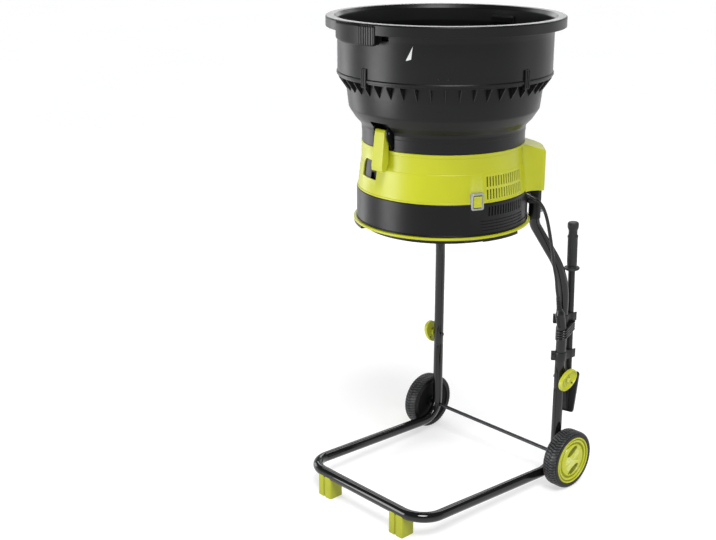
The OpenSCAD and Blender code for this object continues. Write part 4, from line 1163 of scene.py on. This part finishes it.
def tamper_grip():
    n = 96
    rows = []
    prof = [(8.35, 566), (10.2, 566), (11.4, 567.2), (12, 569.5), (12, 574), (12, 577), (12, 600), (12, 615), (12, 628), (12, 632), (12, 635), (12.6, 637.5), (12.9, 640), (12.6, 642.4), (11.2, 644.4),
            (10.6, 646.5), (10.6, 655), (11.4, 658), (12.8, 661), (13.4, 665), (13.5, 670.5), (12.9, 674), (11.4, 675.6), (9, 676), (4, 676), (0.01, 676), (0.01, 570.4), (8.35, 570.4)]
    for i in range(n):
        a = 2 * pi * i / n
        q = []
        for r, z in prof:
            rr = r
            if 576 < z < 631 and r > 11:
                rr = r - 0.8 * max(0.0, cos(12 * a)) ** 2
            q.append((SX + rr * cos(a), SY + rr * sin(a), z))
        rows.append(q)
    g = loft(rows, wrap=True)
    guard = fillet([(8.35, 558, .3), (18, 557.6, 1), (19, 559, 1), (19, 561, 1), (17.8, 562.4, 1), (11.2, 563, 2), (10.5, 567), (8.35, 567)], True, 15)
    return (g + revolve(guard, 64, cx=SX, cy=SY)).map(leaned)


piece(("tamper_handle", tamper_grip()), grip_rubber, "tamper", ["tamper_grip"], angle=45, weighted=False)

# ------------------------------------------------------------------ floor and light
bm = bmesh.new()
bmesh.ops.create_grid(bm, x_segments=8, y_segments=8, size=30)
me = bpy.data.meshes.new("floor")
bm.to_mesh(me)
bm.free()
floor = bpy.data.objects.new("floor", me)
scene.collection.objects.link(floor)
floor.location = (0, 0, -0.0002)
fm = finish_of("floor_finish", (0.47, 0.47, 0.47, 1), (0.49, 0.49, 0.49, 1), (0.70, 0.80), (60, 0.02, 0.0005), 0.8, spec=0.2)
# a lit sweep: it glows a little, so that shadows stay faint
fm.node_tree.nodes["Principled BSDF"].inputs["Emission Color"].default_value = (1, 1, 1, 1)
fm.node_tree.nodes["Principled BSDF"].inputs["Emission Strength"].default_value = 0.56
me.materials.append(fm)

world = bpy.data.worlds.new("studio")
scene.world = world
world.use_nodes = True
wt = world.node_tree
bg = wt.nodes["Background"]
wz = wt.nodes.new("ShaderNodeSeparateXYZ")
link(wt, wt.nodes.new("ShaderNodeTexCoord").outputs["Generated"], wz.inputs[0])
# a bright band at the horizon and a dim ceiling
sky = ramp(wt, wz.outputs["Z"], [(0.0, (0.95, 0.96, 0.98, 1)), (0.16, (0.95, 0.96, 0.98, 1)), (0.42, (0.16, 0.165, 0.17, 1)), (1.0, (0.22, 0.225, 0.23, 1))])
# behind the floor's far edge the eye meets plain white
lp = wt.nodes.new("ShaderNodeLightPath").outputs["Is Camera Ray"]
link(wt, mixc(wt, lp, sky, (1.36, 1.36, 1.36, 1)), bg.inputs["Color"])
bg.inputs["Strength"].default_value = 0.75


def light(name, kind, energy, loc, aim, size=None, size_y=None, angle=None):
    d = bpy.data.lights.new(name, kind)
    d.energy = energy
    if kind == "AREA":
        d.shape = "RECTANGLE"
        d.size, d.size_y = size, size_y
    if angle:
        d.angle = radians(angle)
    o = bpy.data.objects.new(name, d)
    scene.collection.objects.link(o)
    o.location = loc
    o.rotation_mode = "QUATERNION"
    o.rotation_quaternion = (Vector(aim) - Vector(loc)).to_track_quat("-Z", "Y")
    return o


light("key", "SUN", 2.65, (0.46, -0.30, 0.92), (0, 0, 0), angle=26)
light("left_box", "AREA", 35, (-1.20, -2.36, 0.66), (0, 0, 0.75), 1.15, 1.3)
light("left_edge", "AREA", 7, (-2.5, -0.45, 0.55), (0, 0, 0.7), 0.9, 1.1)
light("right_edge", "AREA", 1.2, (2.2, 1.9, 0.6), (0, 0, 0.8), 0.8, 1.0)
light("back_strip", "AREA", 18, (-2.2, 2.04, 2.0), (0, 0, 1.15), 2.5, 0.8)
light("top_strip", "AREA", 16, (-1.05, 0.98, 2.2), (0, 0, 0.1), 3.0, 0.35)

scene.view_settings.view_transform = "Standard"
scene.view_settings.look = "None"
scene.view_settings.exposure = 0.0
scene.view_settings.gamma = 1.0

bpy.context.view_layer.update()
